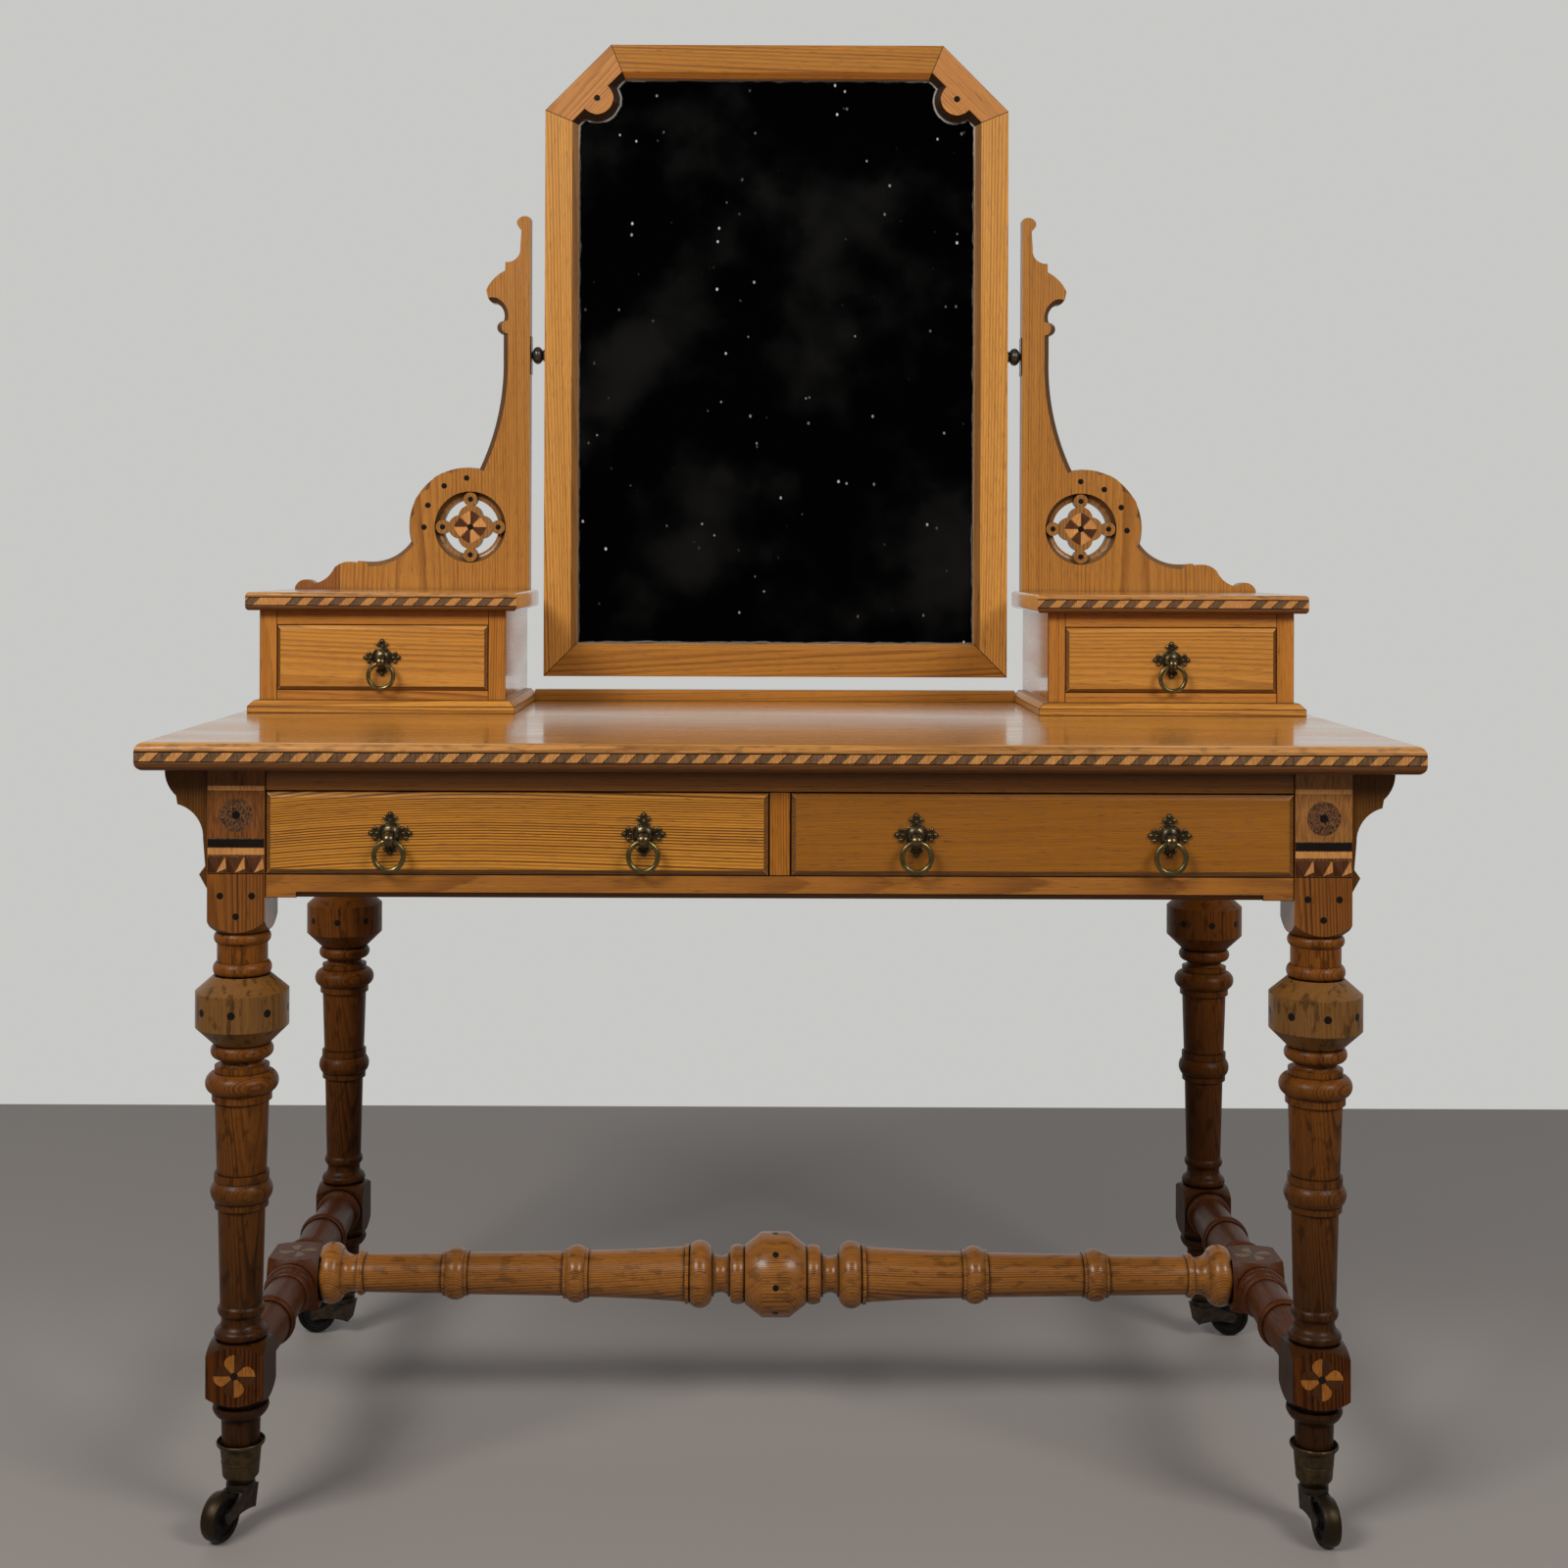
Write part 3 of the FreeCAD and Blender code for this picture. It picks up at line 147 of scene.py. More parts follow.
def varnished_pine(name, early, late, ring=2.6 * mm, strength=0.8, gloss=0.36, coat=0.12, dirt_and_shade=0.55,
                   warp=9.0 * mm, shine=0.45, low_shade=1.0, reach=8.0 * mm, mottle=0.0, dirt_and_shade_range=(0.15, 0.80)):
    """Pitch pine sawn from the log: pale early wood, dark late wood, fine fibres and resin streaks."""
    f = Finish(name)
    grain = f.node("ShaderNodeAttribute", {"attribute_name": "grain"}, None, "Vector")
    side, deep = f.axis(grain, 1), f.axis(grain, 2)

    def fleck(along, across, detail):
        return f.noise(f.scaled(grain, along, across, across), detail)

    sway = (fleck(1.6, 9.0, 1.0) - 0.5) * warp
    quiver = (fleck(11.0, 120.0, 1.0) - 0.5) * (warp * 0.09)
    rings = ((side * side + deep * deep) ** 0.5 + sway + quiver) / ring
    year = f.node("ShaderNodeTexWhiteNoise", {"noise_dimensions": "1D"}, {"W": rings.math("FLOOR", rings)})
    place = rings.math("FRACT", rings)
    late_wood = f.ramp(place, 0.25, 0.82) * f.ramp(place, 0.90, 1.0, 1.0, 0.0) * (0.35 + 0.65 * year)
    fibres = fleck(14.0, 650.0, 3.0)
    streaks = fleck(3.0, 160.0, 2.0)
    resin = f.ramp(fleck(55.0, 1900.0, 0.0), 0.66, 0.74)
    broad = fleck(1.5, 8.0, 3.0)
    figure = late_wood * strength + (streaks - 0.5) * 0.55
    colour = f.mix(solid(early), solid(late), f.ramp(figure, 0.0, 1.0, kind="LINEAR"))
    tone = (0.80 + 0.40 * broad) * (0.76 + 0.48 * fibres) * (1.0 - 0.45 * resin)
    if mottle:
        tone = tone * (1.0 - mottle * f.ramp(fleck(50.0, 130.0, 2.0), 0.54, 0.66))
    # Painted shade and light: darker towards the floor and brighter near the top, by height.
    if low_shade < 1.0:
        tone = tone * f.ramp(f.axis(f.spot(), 2), 0.10, 0.62, low_shade, 1.25)
    # Dirt and painted shade: darker in crevices and joints, and where other parts stand close.
    crevice_dirt_and_shade = f.ramp(f.crevices(reach, False), *dirt_and_shade_range, 1.0 - dirt_and_shade, 1.0)
    rubbed = fleck(4.0, 22.0, 3.0)
    return f.surface(
        Base_Color=f.shade(colour, tone * crevice_dirt_and_shade), Specular_IOR_Level=shine,
        Roughness=gloss + 0.16 * (rubbed - 0.5) + 0.06 * resin, Coat_Roughness=0.12,
        Coat_Weight=f.ramp(rubbed, 0.25, 0.75, coat * 1.25, coat * 0.75),
        Normal=f.bump(late_wood * 0.5 + fibres * 0.5 - resin * 0.6, 0.12 * mm))


def taken(node):
    """A merged copy of a solid from the CAD model."""
    bm = bmesh.new()
    bm.from_mesh(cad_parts[node].data)
    bm.verts.layers.float_vector.new("grain")
    bmesh.ops.remove_doubles(bm, verts=bm.verts, dist=0.002 * mm)
    bmesh.ops.dissolve_limit(bm, angle_limit=math.radians(0.2), verts=bm.verts, edges=bm.edges)
    return bm


def ease(bm, width, least_angle=35.0, keep=None, finish=-1):
    """Rounds the sharp arrises as sandpaper and years of use do, with a finish of their own if given."""
    least = math.radians(least_angle)
    edges = [e for e in bm.edges if len(e.link_faces) == 2 and e.calc_face_angle(0.0) > least]
    if keep:
        edges = [e for e in edges if keep(e)]
    bmesh.ops.bevel(bm, geom=edges, offset=width, segments=2, profile=0.5, affect="EDGES", clamp_overlap=True,
                    material=finish)
    bm.normal_update()


def refinish(bm, number, chosen):
    """Gives the faces that a test picks another of the piece's finishes."""
    for face in bm.faces:
        if chosen(face):
            face.material_index = number


def islands(bm):
    """Groups of points that belong to one board."""
    left = set(bm.verts)
    groups = []
    while left:
        stack = [left.pop()]
        group = list(stack)
        while stack:
            for edge in stack.pop().link_edges:
                for vert in edge.verts:
                    if vert in left:
                        left.remove(vert)
                        group.append(vert)
                        stack.append(vert)
        groups.append(group)
    groups.sort(key=lambda g: tuple(round(c, 4) for c in min(v.co.to_tuple() for v in g)))
    return groups


along_x = Vector((1, 0, 0))
along_y = Vector((0, 1, 0))
along_z = Vector((0, 0, 1))
flat_sawn = (0.0, 110.0 * mm)
rift_sawn = (150.0 * mm, 60.0 * mm)
quarter_sawn = (220.0 * mm, 8.0 * mm)


def lay_grain(bm, along, face, heart, seed, verts=None):
    """Says how a board was cut from the log: its grain's direction, its show face and where the heart lay."""
    layer = bm.verts.layers.float_vector.get("grain") or bm.verts.layers.float_vector.new("grain")
    verts = list(verts or bm.verts)
    middle = sum((v.co for v in verts), Vector()) / len(verts)
    draw = random.Random(seed)
    across = face.cross(along).normalized()
    start = draw.uniform(-40, 40)
    side = heart[0] * draw.choice((-1, 1)) + draw.uniform(-12, 12) * mm
    tilt = draw.uniform(-0.02, 0.02)
    for v in verts:
        co = v.co - middle
        run = co.dot(along)
        v[layer] = (run + start, co.dot(across) + side + tilt * run, co.dot(face) + heart[1] + 0.012 * run)


def as_mesh(bm, name="part"):
    """The mesh of a shape that is done."""
    mesh = bpy.data.meshes.new(name)
    bm.to_mesh(mesh)
    bm.free()
    return mesh


def pour(bm, mesh):
    """Adds a mesh to a shape and drops the mesh."""
    bm.from_mesh(mesh)
    bpy.data.meshes.remove(mesh)


def put(name, data):
    """An object in the scene."""
    thing = bpy.data.objects.new(name, data)
    bpy.context.scene.collection.objects.link(thing)
    return thing


def settle(thing):
    """Turns an object's modifiers into plain mesh."""
    graph = bpy.context.evaluated_depsgraph_get()
    mesh = bpy.data.meshes.new_from_object(thing.evaluated_get(graph), depsgraph=graph)
    thing.modifiers.clear()
    old, thing.data = thing.data, mesh
    mesh.name = thing.name
    bpy.data.meshes.remove(old)
    return thing


def piece(name, bm, finish, body, nodes, slot, smooth=38.0, weighted=True):
    """Makes a finished piece of a shape and lets it ride with its CAD body."""
    thing = put(name, as_mesh(bm, name))
    for material in finish if isinstance(finish, list) else [finish]:
        thing.data.materials.append(material)
    thing.data.shade_smooth()
    thing.data.set_sharp_from_angle(angle=math.radians(smooth))
    if weighted:
        thing.modifiers.new("true faces", "WEIGHTED_NORMAL").keep_sharp = True
        settle(thing)
    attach(thing, body)
    if nodes:
        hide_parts(*nodes)


top_pine = varnished_pine("top_pine", (0.47, 0.200, 0.029), (0.205, 0.068, 0.007), gloss=0.27, coat=0.85)
rim_pine = varnished_pine("rim_pine", (0.41, 0.180, 0.0420), (0.190, 0.068, 0.0120), coat=0.15, shine=0.3,
                          mottle=0.3)
edge_pine = varnished_pine("edge_pine", (0.135, 0.049, 0.0120), (0.065, 0.021, 0.0045), coat=0.05, shine=0.2)


def edged_top(name, node, undercut, heart, seed):
    """A top board with its front finished apart, its strip below the banding darker than the one above."""
    bm = taken(node)
    ease(bm, 0.5 * mm)
    refinish(bm, 1, lambda face: face.normal.y < -0.5)
    refinish(bm, 2, lambda face: face.normal.y < -0.3 and face.calc_center_median().z < undercut)
    lay_grain(bm, along_x, along_z, heart, seed)
    piece(name, bm, [top_pine, rim_pine, edge_pine], "table", [node], "pine")


edged_top("desk_top_board", "desk_top", 748.0 * mm, (60.0 * mm, 150.0 * mm), 11)

# Rope banding: slips of pale and of brown wood set aslant, with black lines above and below, let into the
# front edges of the desk top and of both box tops. It was bought by the length and glued into its groove.
band_depth = 1.5 * mm
band_line = 0.9 * mm
slip_pitch = 23.7 * mm
pale_slip_width = 11.0 * mm
brown_slip_width = 11.7 * mm


def repeat_tree(name, kinds):
    """Geometry nodes that repeat a piece along a line, or round a circle, and give it its finish."""
    tree = bpy.data.node_groups.new(name, "GeometryNodeTree")
    for title, kind in {"Piece": "Geometry", "Count": "Int", **kinds, "Finish": "Material"}.items():
        tree.interface.new_socket(title, in_out="INPUT", socket_type="NodeSocket" + kind)
    tree.interface.new_socket("Row", in_out="OUTPUT", socket_type="NodeSocketGeometry")
    given = tree.nodes.new("NodeGroupInput").outputs

    def node(kind, links, **settings):
        new = tree.nodes.new(kind)
        for key, value in settings.items():
            setattr(new, key, value)
        for socket, value in links.items():
            if isinstance(value, float):
                new.inputs[socket].default_value = value
            else:
                tree.links.new(value, new.inputs[socket])
        return new.outputs[0] if new.outputs else None

    instance = {"Instance": given["Piece"]}
    if "Radius" in kinds:
        points = node("GeometryNodeMeshCircle", {"Vertices": given["Count"], "Radius": given["Radius"]})
        share = node("ShaderNodeMath", {0: 2 * math.pi, 1: given["Count"]}, operation="DIVIDE")
        turn = node("ShaderNodeMath", {0: node("GeometryNodeInputIndex", {}), 1: share}, operation="MULTIPLY")
        instance["Rotation"] = node("ShaderNodeCombineXYZ", {"Z": turn})
    else:
        points = node("GeometryNodeMeshLine", {"Count": given["Count"], "Start Location": given["First"],
                                               "Offset": given["Step"]}, mode="OFFSET")
    row = node("GeometryNodeInstanceOnPoints", {"Points": points, **instance})
    row = node("GeometryNodeRealizeInstances", {0: row})
    row = node("GeometryNodeSetMaterial", {"Geometry": row, "Material": given["Finish"]})
    node("NodeGroupOutput", {0: row})
    return tree


line_repeat = repeat_tree("Repeat along a line", {"First": "Vector", "Step": "Vector"})
ring_repeat = repeat_tree("Repeat round a circle", {"Radius": "Float"})


def repeated(bm, tree, **inputs):
    """A shape repeated by a tree, as one plain mesh."""
    thing = put("row", as_mesh(bm))
    modifier = thing.modifiers.new("repeat", "NODES")
    modifier.node_group = tree
    for item in tree.interface.items_tree:
        if item.in_out == "INPUT" and item.name in inputs:
            modifier[item.identifier] = inputs[item.name]
    mesh = settle(thing).data
    bpy.data.objects.remove(thing)
    return mesh


def prism(bm, outline, front, back, wood=0):
    """A thin slip with its outline in x and z, between two depths in y."""
    near = [bm.verts.new((x, front, z)) for x, z in outline]
    far = [bm.verts.new((x, back, z)) for x, z in outline]
    faces = [bm.faces.new(near), bm.faces.new(far[::-1])]
    for i in range(len(outline)):
        faces.append(bm.faces.new([near[i], near[i - 1], far[i - 1], far[i]]))
    for face in faces:
        face.material_index = wood


def inlay_wood(name, early, late, scale=1.0, coat=0.3, shine=0.5, along=0.1):
    """Small slips of coloured wood under the same varnish, with a fine straight grain."""
    f = Finish(name)
    fine = 900.0 * scale
    fibres = f.noise(f.scaled(f.spot(), fine, fine, fine * along), 2.0)
    broad = f.noise(f.scaled(f.spot(), 55.0), 2.0)
    colour = f.mix(solid(early), solid(late), f.ramp(fibres, 0.3, 0.75))
    # Painted shade: darker in the piece's own crevices.
    tone = (0.72 + 0.56 * broad) * f.ramp(f.crevices(3.0 * mm), 0.2, 0.8, 0.6, 1.0)
    return f.surface(Base_Color=f.shade(colour, tone), Roughness=0.34 + 0.12 * broad, Coat_Weight=coat,
                     Specular_IOR_Level=shine, Coat_Roughness=0.12, Normal=f.bump(fibres, 0.05 * mm, 0.5))


pale_inlay = inlay_wood("pale_inlay", (0.52, 0.235, 0.064), (0.34, 0.135, 0.030))
brown_inlay = inlay_wood("brown_inlay", (0.155, 0.078, 0.032), (0.068, 0.032, 0.012), coat=0.15)
black_inlay = inlay_wood("black_inlay", (0.008, 0.005, 0.004), (0.004, 0.003, 0.002), coat=0.04, shine=0.2)


def clipped(outline, left, right):
    """What is left of a slip's outline between the two ends of the edge."""
    for sign, limit in ((1, left), (-1, -right)):
        kept = []
        for (ax, az), (bx, bz) in zip(outline, outline[1:] + outline[:1]):
            a, b = sign * ax - limit, sign * bx - limit
            if a >= 0:
                kept.append((ax, az))
            if (a < 0) != (b < 0):
                share = a / (a - b)
                kept.append((ax + share * (bx - ax), az + share * (bz - az)))
        outline = kept
    return outline


def rope_banding(front, middle, left, right, runs, odd=()):
    """Slips and lines for one edge. A run says where its first brown slip starts and how many it has, an odd
    one where a single brown slip starts and ends. Pale wood fills the rest, black comes before a brown."""
    low, high = middle - half_band + band_line, middle + half_band - band_line
    rise = high - low
    made = {"pale": (bmesh.new(), pale_inlay), "brown": (bmesh.new(), brown_inlay),
            "black": (bmesh.new(), black_inlay)}
    parts = []

    def slip_between(wood, start, end):
        a, b = left + start, left + end
        outline = clipped([(a, low), (b, low), (b + rise, high), (a + rise, high)], left, right)
        if end > start and len(outline) > 2:
            prism(made[wood][0], outline, front, front + band_depth)

    for line_low, line_high in ((middle - half_band, low), (high, middle + half_band)):
        prism(made["black"][0], [(left, line_low), (right, line_low), (right, line_high), (left, line_high)],
              front, front + band_depth)
    black_width = slip_pitch - brown_slip_width - pale_slip_width
    reached = -3 * rise
    browns = [(start, start + (count - 1) * slip_pitch + brown_slip_width, count) for start, count in runs]
    for start, end, count in sorted(browns + [(start, end, 0) for start, end in odd]):
        slip_between("pale", reached, start - black_width)
        slip_between("black", start - black_width, start)
        reached = end
        if not count:
            slip_between("brown", start, end)
            continue
        pale_start = start + brown_slip_width
        for wood, width, first, number in (
                ("brown", brown_slip_width, start, count), ("pale", pale_slip_width, pale_start, count - 1),
                ("black", black_width, pale_start + pale_slip_width, count - 1)):
            bm = bmesh.new()
            prism(bm, [(0, 0), (width, 0), (width + rise, rise), (rise, rise)], 0, band_depth)
            parts.append(repeated(bm, line_repeat, Count=number, Step=(slip_pitch, 0.0, 0.0),
                                  First=(left + first, front, low), Finish=made[wood][1]))
    slip_between("pale", reached, right - left + rise)
    for bm, material in made.values():
        parts.append(as_mesh(bm))
        parts[-1].materials.append(material)
    return parts


def joined(parts):
    """Meshes with a finish each, brought together as one shape, and its list of finishes."""
    bm = bmesh.new()
    finishes = []
    for mesh in parts:
        index = []
        for material in mesh.materials:
            if material not in finishes:
                finishes.append(material)
            index.append(finishes.index(material))
        before = len(bm.faces)
        pour(bm, mesh)
        bm.faces.ensure_lookup_table()
        for face in bm.faces[before:]:
            face.material_index = index[min(face.material_index, len(index) - 1)]
    return bm, finishes


desk_low, desk_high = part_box("desk_top")
slab_low, slab_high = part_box("box_top_right")
half_band = 5.0 * mm
banding = rope_banding(desk_low.y, (desk_low.z + desk_high.z) / 2, desk_low.x, desk_high.x, [(16.4 * mm, 50)],
                       [(-7.3 * mm, 4.4 * mm), (1201.4 * mm, 1213.1 * mm)])
slab_runs = {
    -1: ([(46.0 * mm, 10)], [(-3.0 * mm, 8.8 * mm), (283.0 * mm, 294.7 * mm)]),
    1: ([(1.4 * mm, 9), (238.4 * mm, 2)], [(285.1 * mm, 296.2 * mm)]),
}
for side, (runs, odd) in slab_runs.items():
    banding += rope_banding(slab_low.y, (slab_low.z + slab_high.z) / 2,
                            *sorted((side * slab_low.x, side * slab_high.x)), runs, odd)
piece("rope_banding", *joined(banding), "table", ["edge_banding"], "banding", weighted=False)

# Frieze: rails between the leg blocks, a divider with upright grain, and bearers for the drawers. The lower
# front rail has a stopped chamfer. The hidden rails and bearers are the same pine, left bare inside.
plain_pine = varnished_pine("plain_pine", (0.42, 0.25, 0.115), (0.27, 0.13, 0.05), gloss=0.62, coat=0.0,
                            dirt_and_shade=0.4)
# Nearly black: dirt and dark joints, and painted shade along gaps and round the mirror's lobes.
seam_dirt_and_shade = inlay_wood("seam_dirt_and_shade", (0.026, 0.0095, 0.0024), (0.011, 0.0040, 0.0012), coat=0.0, shine=0.15)


def planed(name, node, finish, along, face, heart, seed, edge=0.6 * mm, slot="pine", body="table",
           seams=False, under=()):
    """One node taken as it is, its arrises eased and its grain laid. Dirt and painted shade may darken its
    seams, and painted shade its faces turned down.
    """
    bm = taken(node)
    ease(bm, edge, finish=1 if seams else -1)
    # Painted shade: faces turned down and to the front take the darker finish given.
    if under:
        refinish(bm, 2, lambda face: face.normal.z < -0.2 > face.normal.y and face.material_index == 0)
    for i, verts in enumerate(islands(bm)):
        lay_grain(bm, along, face, heart, seed + i, verts)
    piece(name, bm, [finish, seam_dirt_and_shade, *under], body, [node], slot)


towards_front = -along_y
frieze_pine = varnished_pine("frieze_pine", (0.31, 0.110, 0.0095), (0.130, 0.036, 0.0025), dirt_and_shade=0.75)
# Darkening that reaches far from the front rails' edges: painted shade under the overhanging top.
rail_pine = varnished_pine("rail_pine", (0.315, 0.114, 0.0135), (0.125, 0.036, 0.0032), ring=1.6 * mm,
                           dirt_and_shade=0.96, strength=0.65, reach=16.0 * mm, dirt_and_shade_range=(0.50, 0.93))
divider_pine = varnished_pine("divider_pine", (0.36, 0.125, 0.0080), (0.150, 0.040, 0.0020), dirt_and_shade=0.75)
# A darker finish for the lower rail's stopped chamfer, which faces down: painted shade.
shaded_chamfer_pine = varnished_pine("shaded_chamfer_pine", (0.120, 0.042, 0.0070), (0.045, 0.013, 0.0020), coat=0.0, shine=0.2)
planed("frieze_upper_rail", "frieze_top_rail", rail_pine, along_x, towards_front, rift_sawn, 21, seams=True)
planed("frieze_lower_rail", "frieze_bottom_rail", rail_pine, along_x, towards_front, flat_sawn, 22,
       seams=True, under=[shaded_chamfer_pine])
planed("frieze_divider", "drawer_divider", divider_pine, along_z, towards_front, quarter_sawn, 23, seams=True)
planed("frieze_rear_rail", "frieze_back_rail", frieze_pine, along_x, along_y, flat_sawn, 24)
planed("frieze_end_rails", "frieze_side_rails", frieze_pine, along_y, along_x, flat_sawn, 25)
planed("drawer_bearers", "drawer_runners", plain_pine, along_y, along_z, rift_sawn, 27, slot="pine_lining")

# Side brackets: ogee blocks with a small nib, fretted from the solid and planted on the leg blocks' outer
# faces under the ends of the top.
bracket_pine = varnished_pine("bracket_pine", (0.104, 0.038, 0.0040), (0.043, 0.012, 0.0011), dirt_and_shade=0.8,
                              shine=0.25)
planed("ogee_brackets", "side_brackets", bracket_pine, along_z, along_x, flat_sawn, 31, edge=0.5 * mm)

# Legs: each one turned from a single square of pitch pine. Two square blocks are left, the upper rounded off
# below and the lower at both ends, with beads, coves, long tapers and a wide drum between them.
# Close rings, and dirt and painted shade deep in the grooves; painted shade low, painted light high.
turned_grain_and_shade = dict(ring=1.8 * mm, dirt_and_shade=0.92, strength=0.85, reach=5.0 * mm, dirt_and_shade_range=(0.35, 0.92))
turned_pine = varnished_pine("turned_pine", (0.155, 0.049, 0.0056), (0.047, 0.0130, 0.0014), gloss=0.38,
                             coat=0.02, shine=0.14, low_shade=0.20, mottle=0.45, **turned_grain_and_shade)
rear_pine = varnished_pine("rear_pine", (0.125, 0.037, 0.0034), (0.038, 0.0103, 0.0010), gloss=0.4, coat=0.0,
                           shine=0.12, low_shade=0.34, mottle=0.4, **turned_grain_and_shade)
drum_pine = varnished_pine("drum_pine", (0.168, 0.074, 0.0170), (0.085, 0.030, 0.0068), ring=1.8 * mm,
                           coat=0.05, dirt_and_shade=0.8, strength=0.5, shine=0.22, reach=4.0 * mm, mottle=0.5)
# A darker finish for the lower blocks' front faces: painted shade, as little light reaches so low.
shaded_low_block_pine = varnished_pine("shaded_low_block_pine", (0.068, 0.0175, 0.0014), (0.014, 0.0033, 0.0005),
                                ring=2.2 * mm, coat=0.0, dirt_and_shade=0.85, strength=1.2, shine=0.12, warp=3.0 * mm,
                                mottle=0.3)
block_pine = varnished_pine("block_pine", (0.202, 0.063, 0.0040), (0.058, 0.015, 0.0008), ring=1.7 * mm,
                            dirt_and_shade=0.75, strength=1.1, warp=4.0 * mm)
leg_width = 55.5 * mm
leg_x, leg_front_y, leg_rear_y = 520 * mm, -249 * mm, 256 * mm
leg_centres = {"front_left": (-leg_x, leg_front_y), "front_right": (leg_x, leg_front_y),
               "rear_left": (-leg_x, leg_rear_y), "rear_right": (leg_x, leg_rear_y)}
foot_low, foot_high = 51 * mm, 76.5 * mm
low_block_low, low_block_high = 124 * mm, 184 * mm
top_block_low, top_block_high = 577 * mm, 736.5 * mm

# Each row of a turning: its height as a share of the whole, then its widths at its lower end, half way and
# at its upper end as shares of the square's width. None half way makes it straight.
foot_turning = (
    (0.66, 0.645, None, 0.675), (0.19, 0.75, 0.90, 0.97), (0.07, 0.97, None, 0.95), (0.08, 0.80, None, 0.80),
)
stem_turning = (
    (0.025, 0.83, 0.92, 0.83), (0.031, 0.82, 0.69, 0.72), (0.028, 0.72, 0.81, 0.72),
    (0.238, 0.73, None, 0.81), (0.014, 0.92, None, 0.92), (0.053, 0.90, 1.07, 0.90),
    (0.018, 0.94, None, 0.94), (0.178, 0.85, None, 0.93), (0.018, 1.03, None, 1.03),
    (0.052, 1.01, 1.26, 1.01), (0.016, 0.94, None, 0.94), (0.018, 0.83, 0.73, 0.79),
    (0.037, 0.90, 1.08, 0.90), (0.042, 0.99, None, 1.605), (0.087, 1.605, None, 1.605),
    (0.038, 1.605, None, 0.99), (0.033, 0.90, 1.01, 0.90), (0.046, 0.87, None, 0.87),
    (0.028, 0.88, 0.98, 0.88),
)
block_end = (0.88, 1.22, 1.45)


def arc_points(low, middle, high, count):
    """Points on the arc through three (height, radius) points."""
    (ax, ay), (bx, by), (cx, cy) = low, middle, high
    d = 2 * (ax * (by - cy) + bx * (cy - ay) + cx * (ay - by))
    if abs(d) < 1e-12:
        return [low, high]
    a2, b2, c2 = ax * ax + ay * ay, bx * bx + by * by, cx * cx + cy * cy
    ux = (a2 * (by - cy) + b2 * (cy - ay) + c2 * (ay - by)) / d
    uy = (a2 * (cx - bx) + b2 * (ax - cx) + c2 * (bx - ax)) / d
    radius = math.hypot(ax - ux, ay - uy)
    start, half, end = (math.atan2(y - uy, x - ux) for x, y in (low, middle, high))
    turn = (end - start) % (2 * math.pi)
    if (half - start) % (2 * math.pi) > turn:
        turn -= 2 * math.pi
    angles = [start + turn * i / count for i in range(count + 1)]
    return [(ux + radius * math.cos(a), uy + radius * math.sin(a)) for a in angles]


def turning_line(rows, start, length, width, steps=10):
    """The (height, radius) line of a turning from its rows."""
    points = []
    height = start
    for share, low, middle, high in rows:
        rise = share * length
        a, b = (height, low * width / 2), (height + rise, high * width / 2)
        if middle is None:
            run = [a, b]
        else:
            run = arc_points(a, (height + rise / 2, middle * width / 2), b, steps)
        if points and math.hypot(points[-1][0] - run[0][0], points[-1][1] - run[0][1]) < 0.01 * mm:
            run = run[1:]
        points += run
        height += rise
    return points


def spin(points, sides=56):
    """Spins a line of (height, radius) points about z. A radius of nothing closes the shape in a point."""
    bm = bmesh.new()
    rings = []
    for height, radius in points:
        angles = [2 * math.pi * i / sides for i in range(sides)] if radius else [0.0]
        rings.append([bm.verts.new((radius * math.cos(a), radius * math.sin(a), height)) for a in angles])
    for low, high in zip(rings, rings[1:]):
        for i in range(sides):
            after = (i + 1) % sides
            if len(low) == 1:
                bm.faces.new([low[0], high[after], high[i]])
            elif len(high) == 1:
                bm.faces.new([low[i], low[after], high[0]])
            else:
                bm.faces.new([low[i], low[after], high[after], high[i]])
    return bm


def lathe(points, sides=64):
    """Turns a line of (height, radius) points about z, with closed ends."""
    return spin([(points[0][0], 0.0), *points, (points[-1][0], 0.0)], sides)


def combined(first, second, operation):
    """What a saw and a gouge leave of two meshes."""
    blank, tool = put("blank", first), put("tool", second)
    cut = blank.modifiers.new("cut", "BOOLEAN")
    cut.operation, cut.solver, cut.object = operation, "EXACT", tool
    mesh = settle(blank).data
    bpy.data.objects.remove(blank)
    bpy.data.objects.remove(tool)
    bpy.data.meshes.remove(second)
    return mesh


def cuboid(low, high):
    """A block between two corners."""
    bm = bmesh.new()
    bmesh.ops.create_cube(bm, size=1.0)
    bmesh.ops.scale(bm, vec=high - low, verts=bm.verts)
    bmesh.ops.translate(bm, vec=(low + high) / 2, verts=bm.verts)
    return bm


def turned_block(width, low, high, dome, both):
    """A square block with its ends rounded on the lathe, its arrises just eased."""
    end, shoulder, clear = block_end
    length = high - low
    share = dome / length
    rows = [(share, end, shoulder, clear), (1 - share, clear, None, clear)]
    if both:
        rows[1:] = [(1 - 2 * share, clear, None, clear), (share, clear, shoulder, end)]
    half = width / 2
    bm = cuboid(Vector((-half, -half, low)), Vector((half, half, high)))
    ease(bm, 0.7 * mm)
    round_ends = lathe(turning_line(rows, low, length, width, 14), 96)
    return combined(as_mesh(bm), as_mesh(round_ends), "INTERSECT")


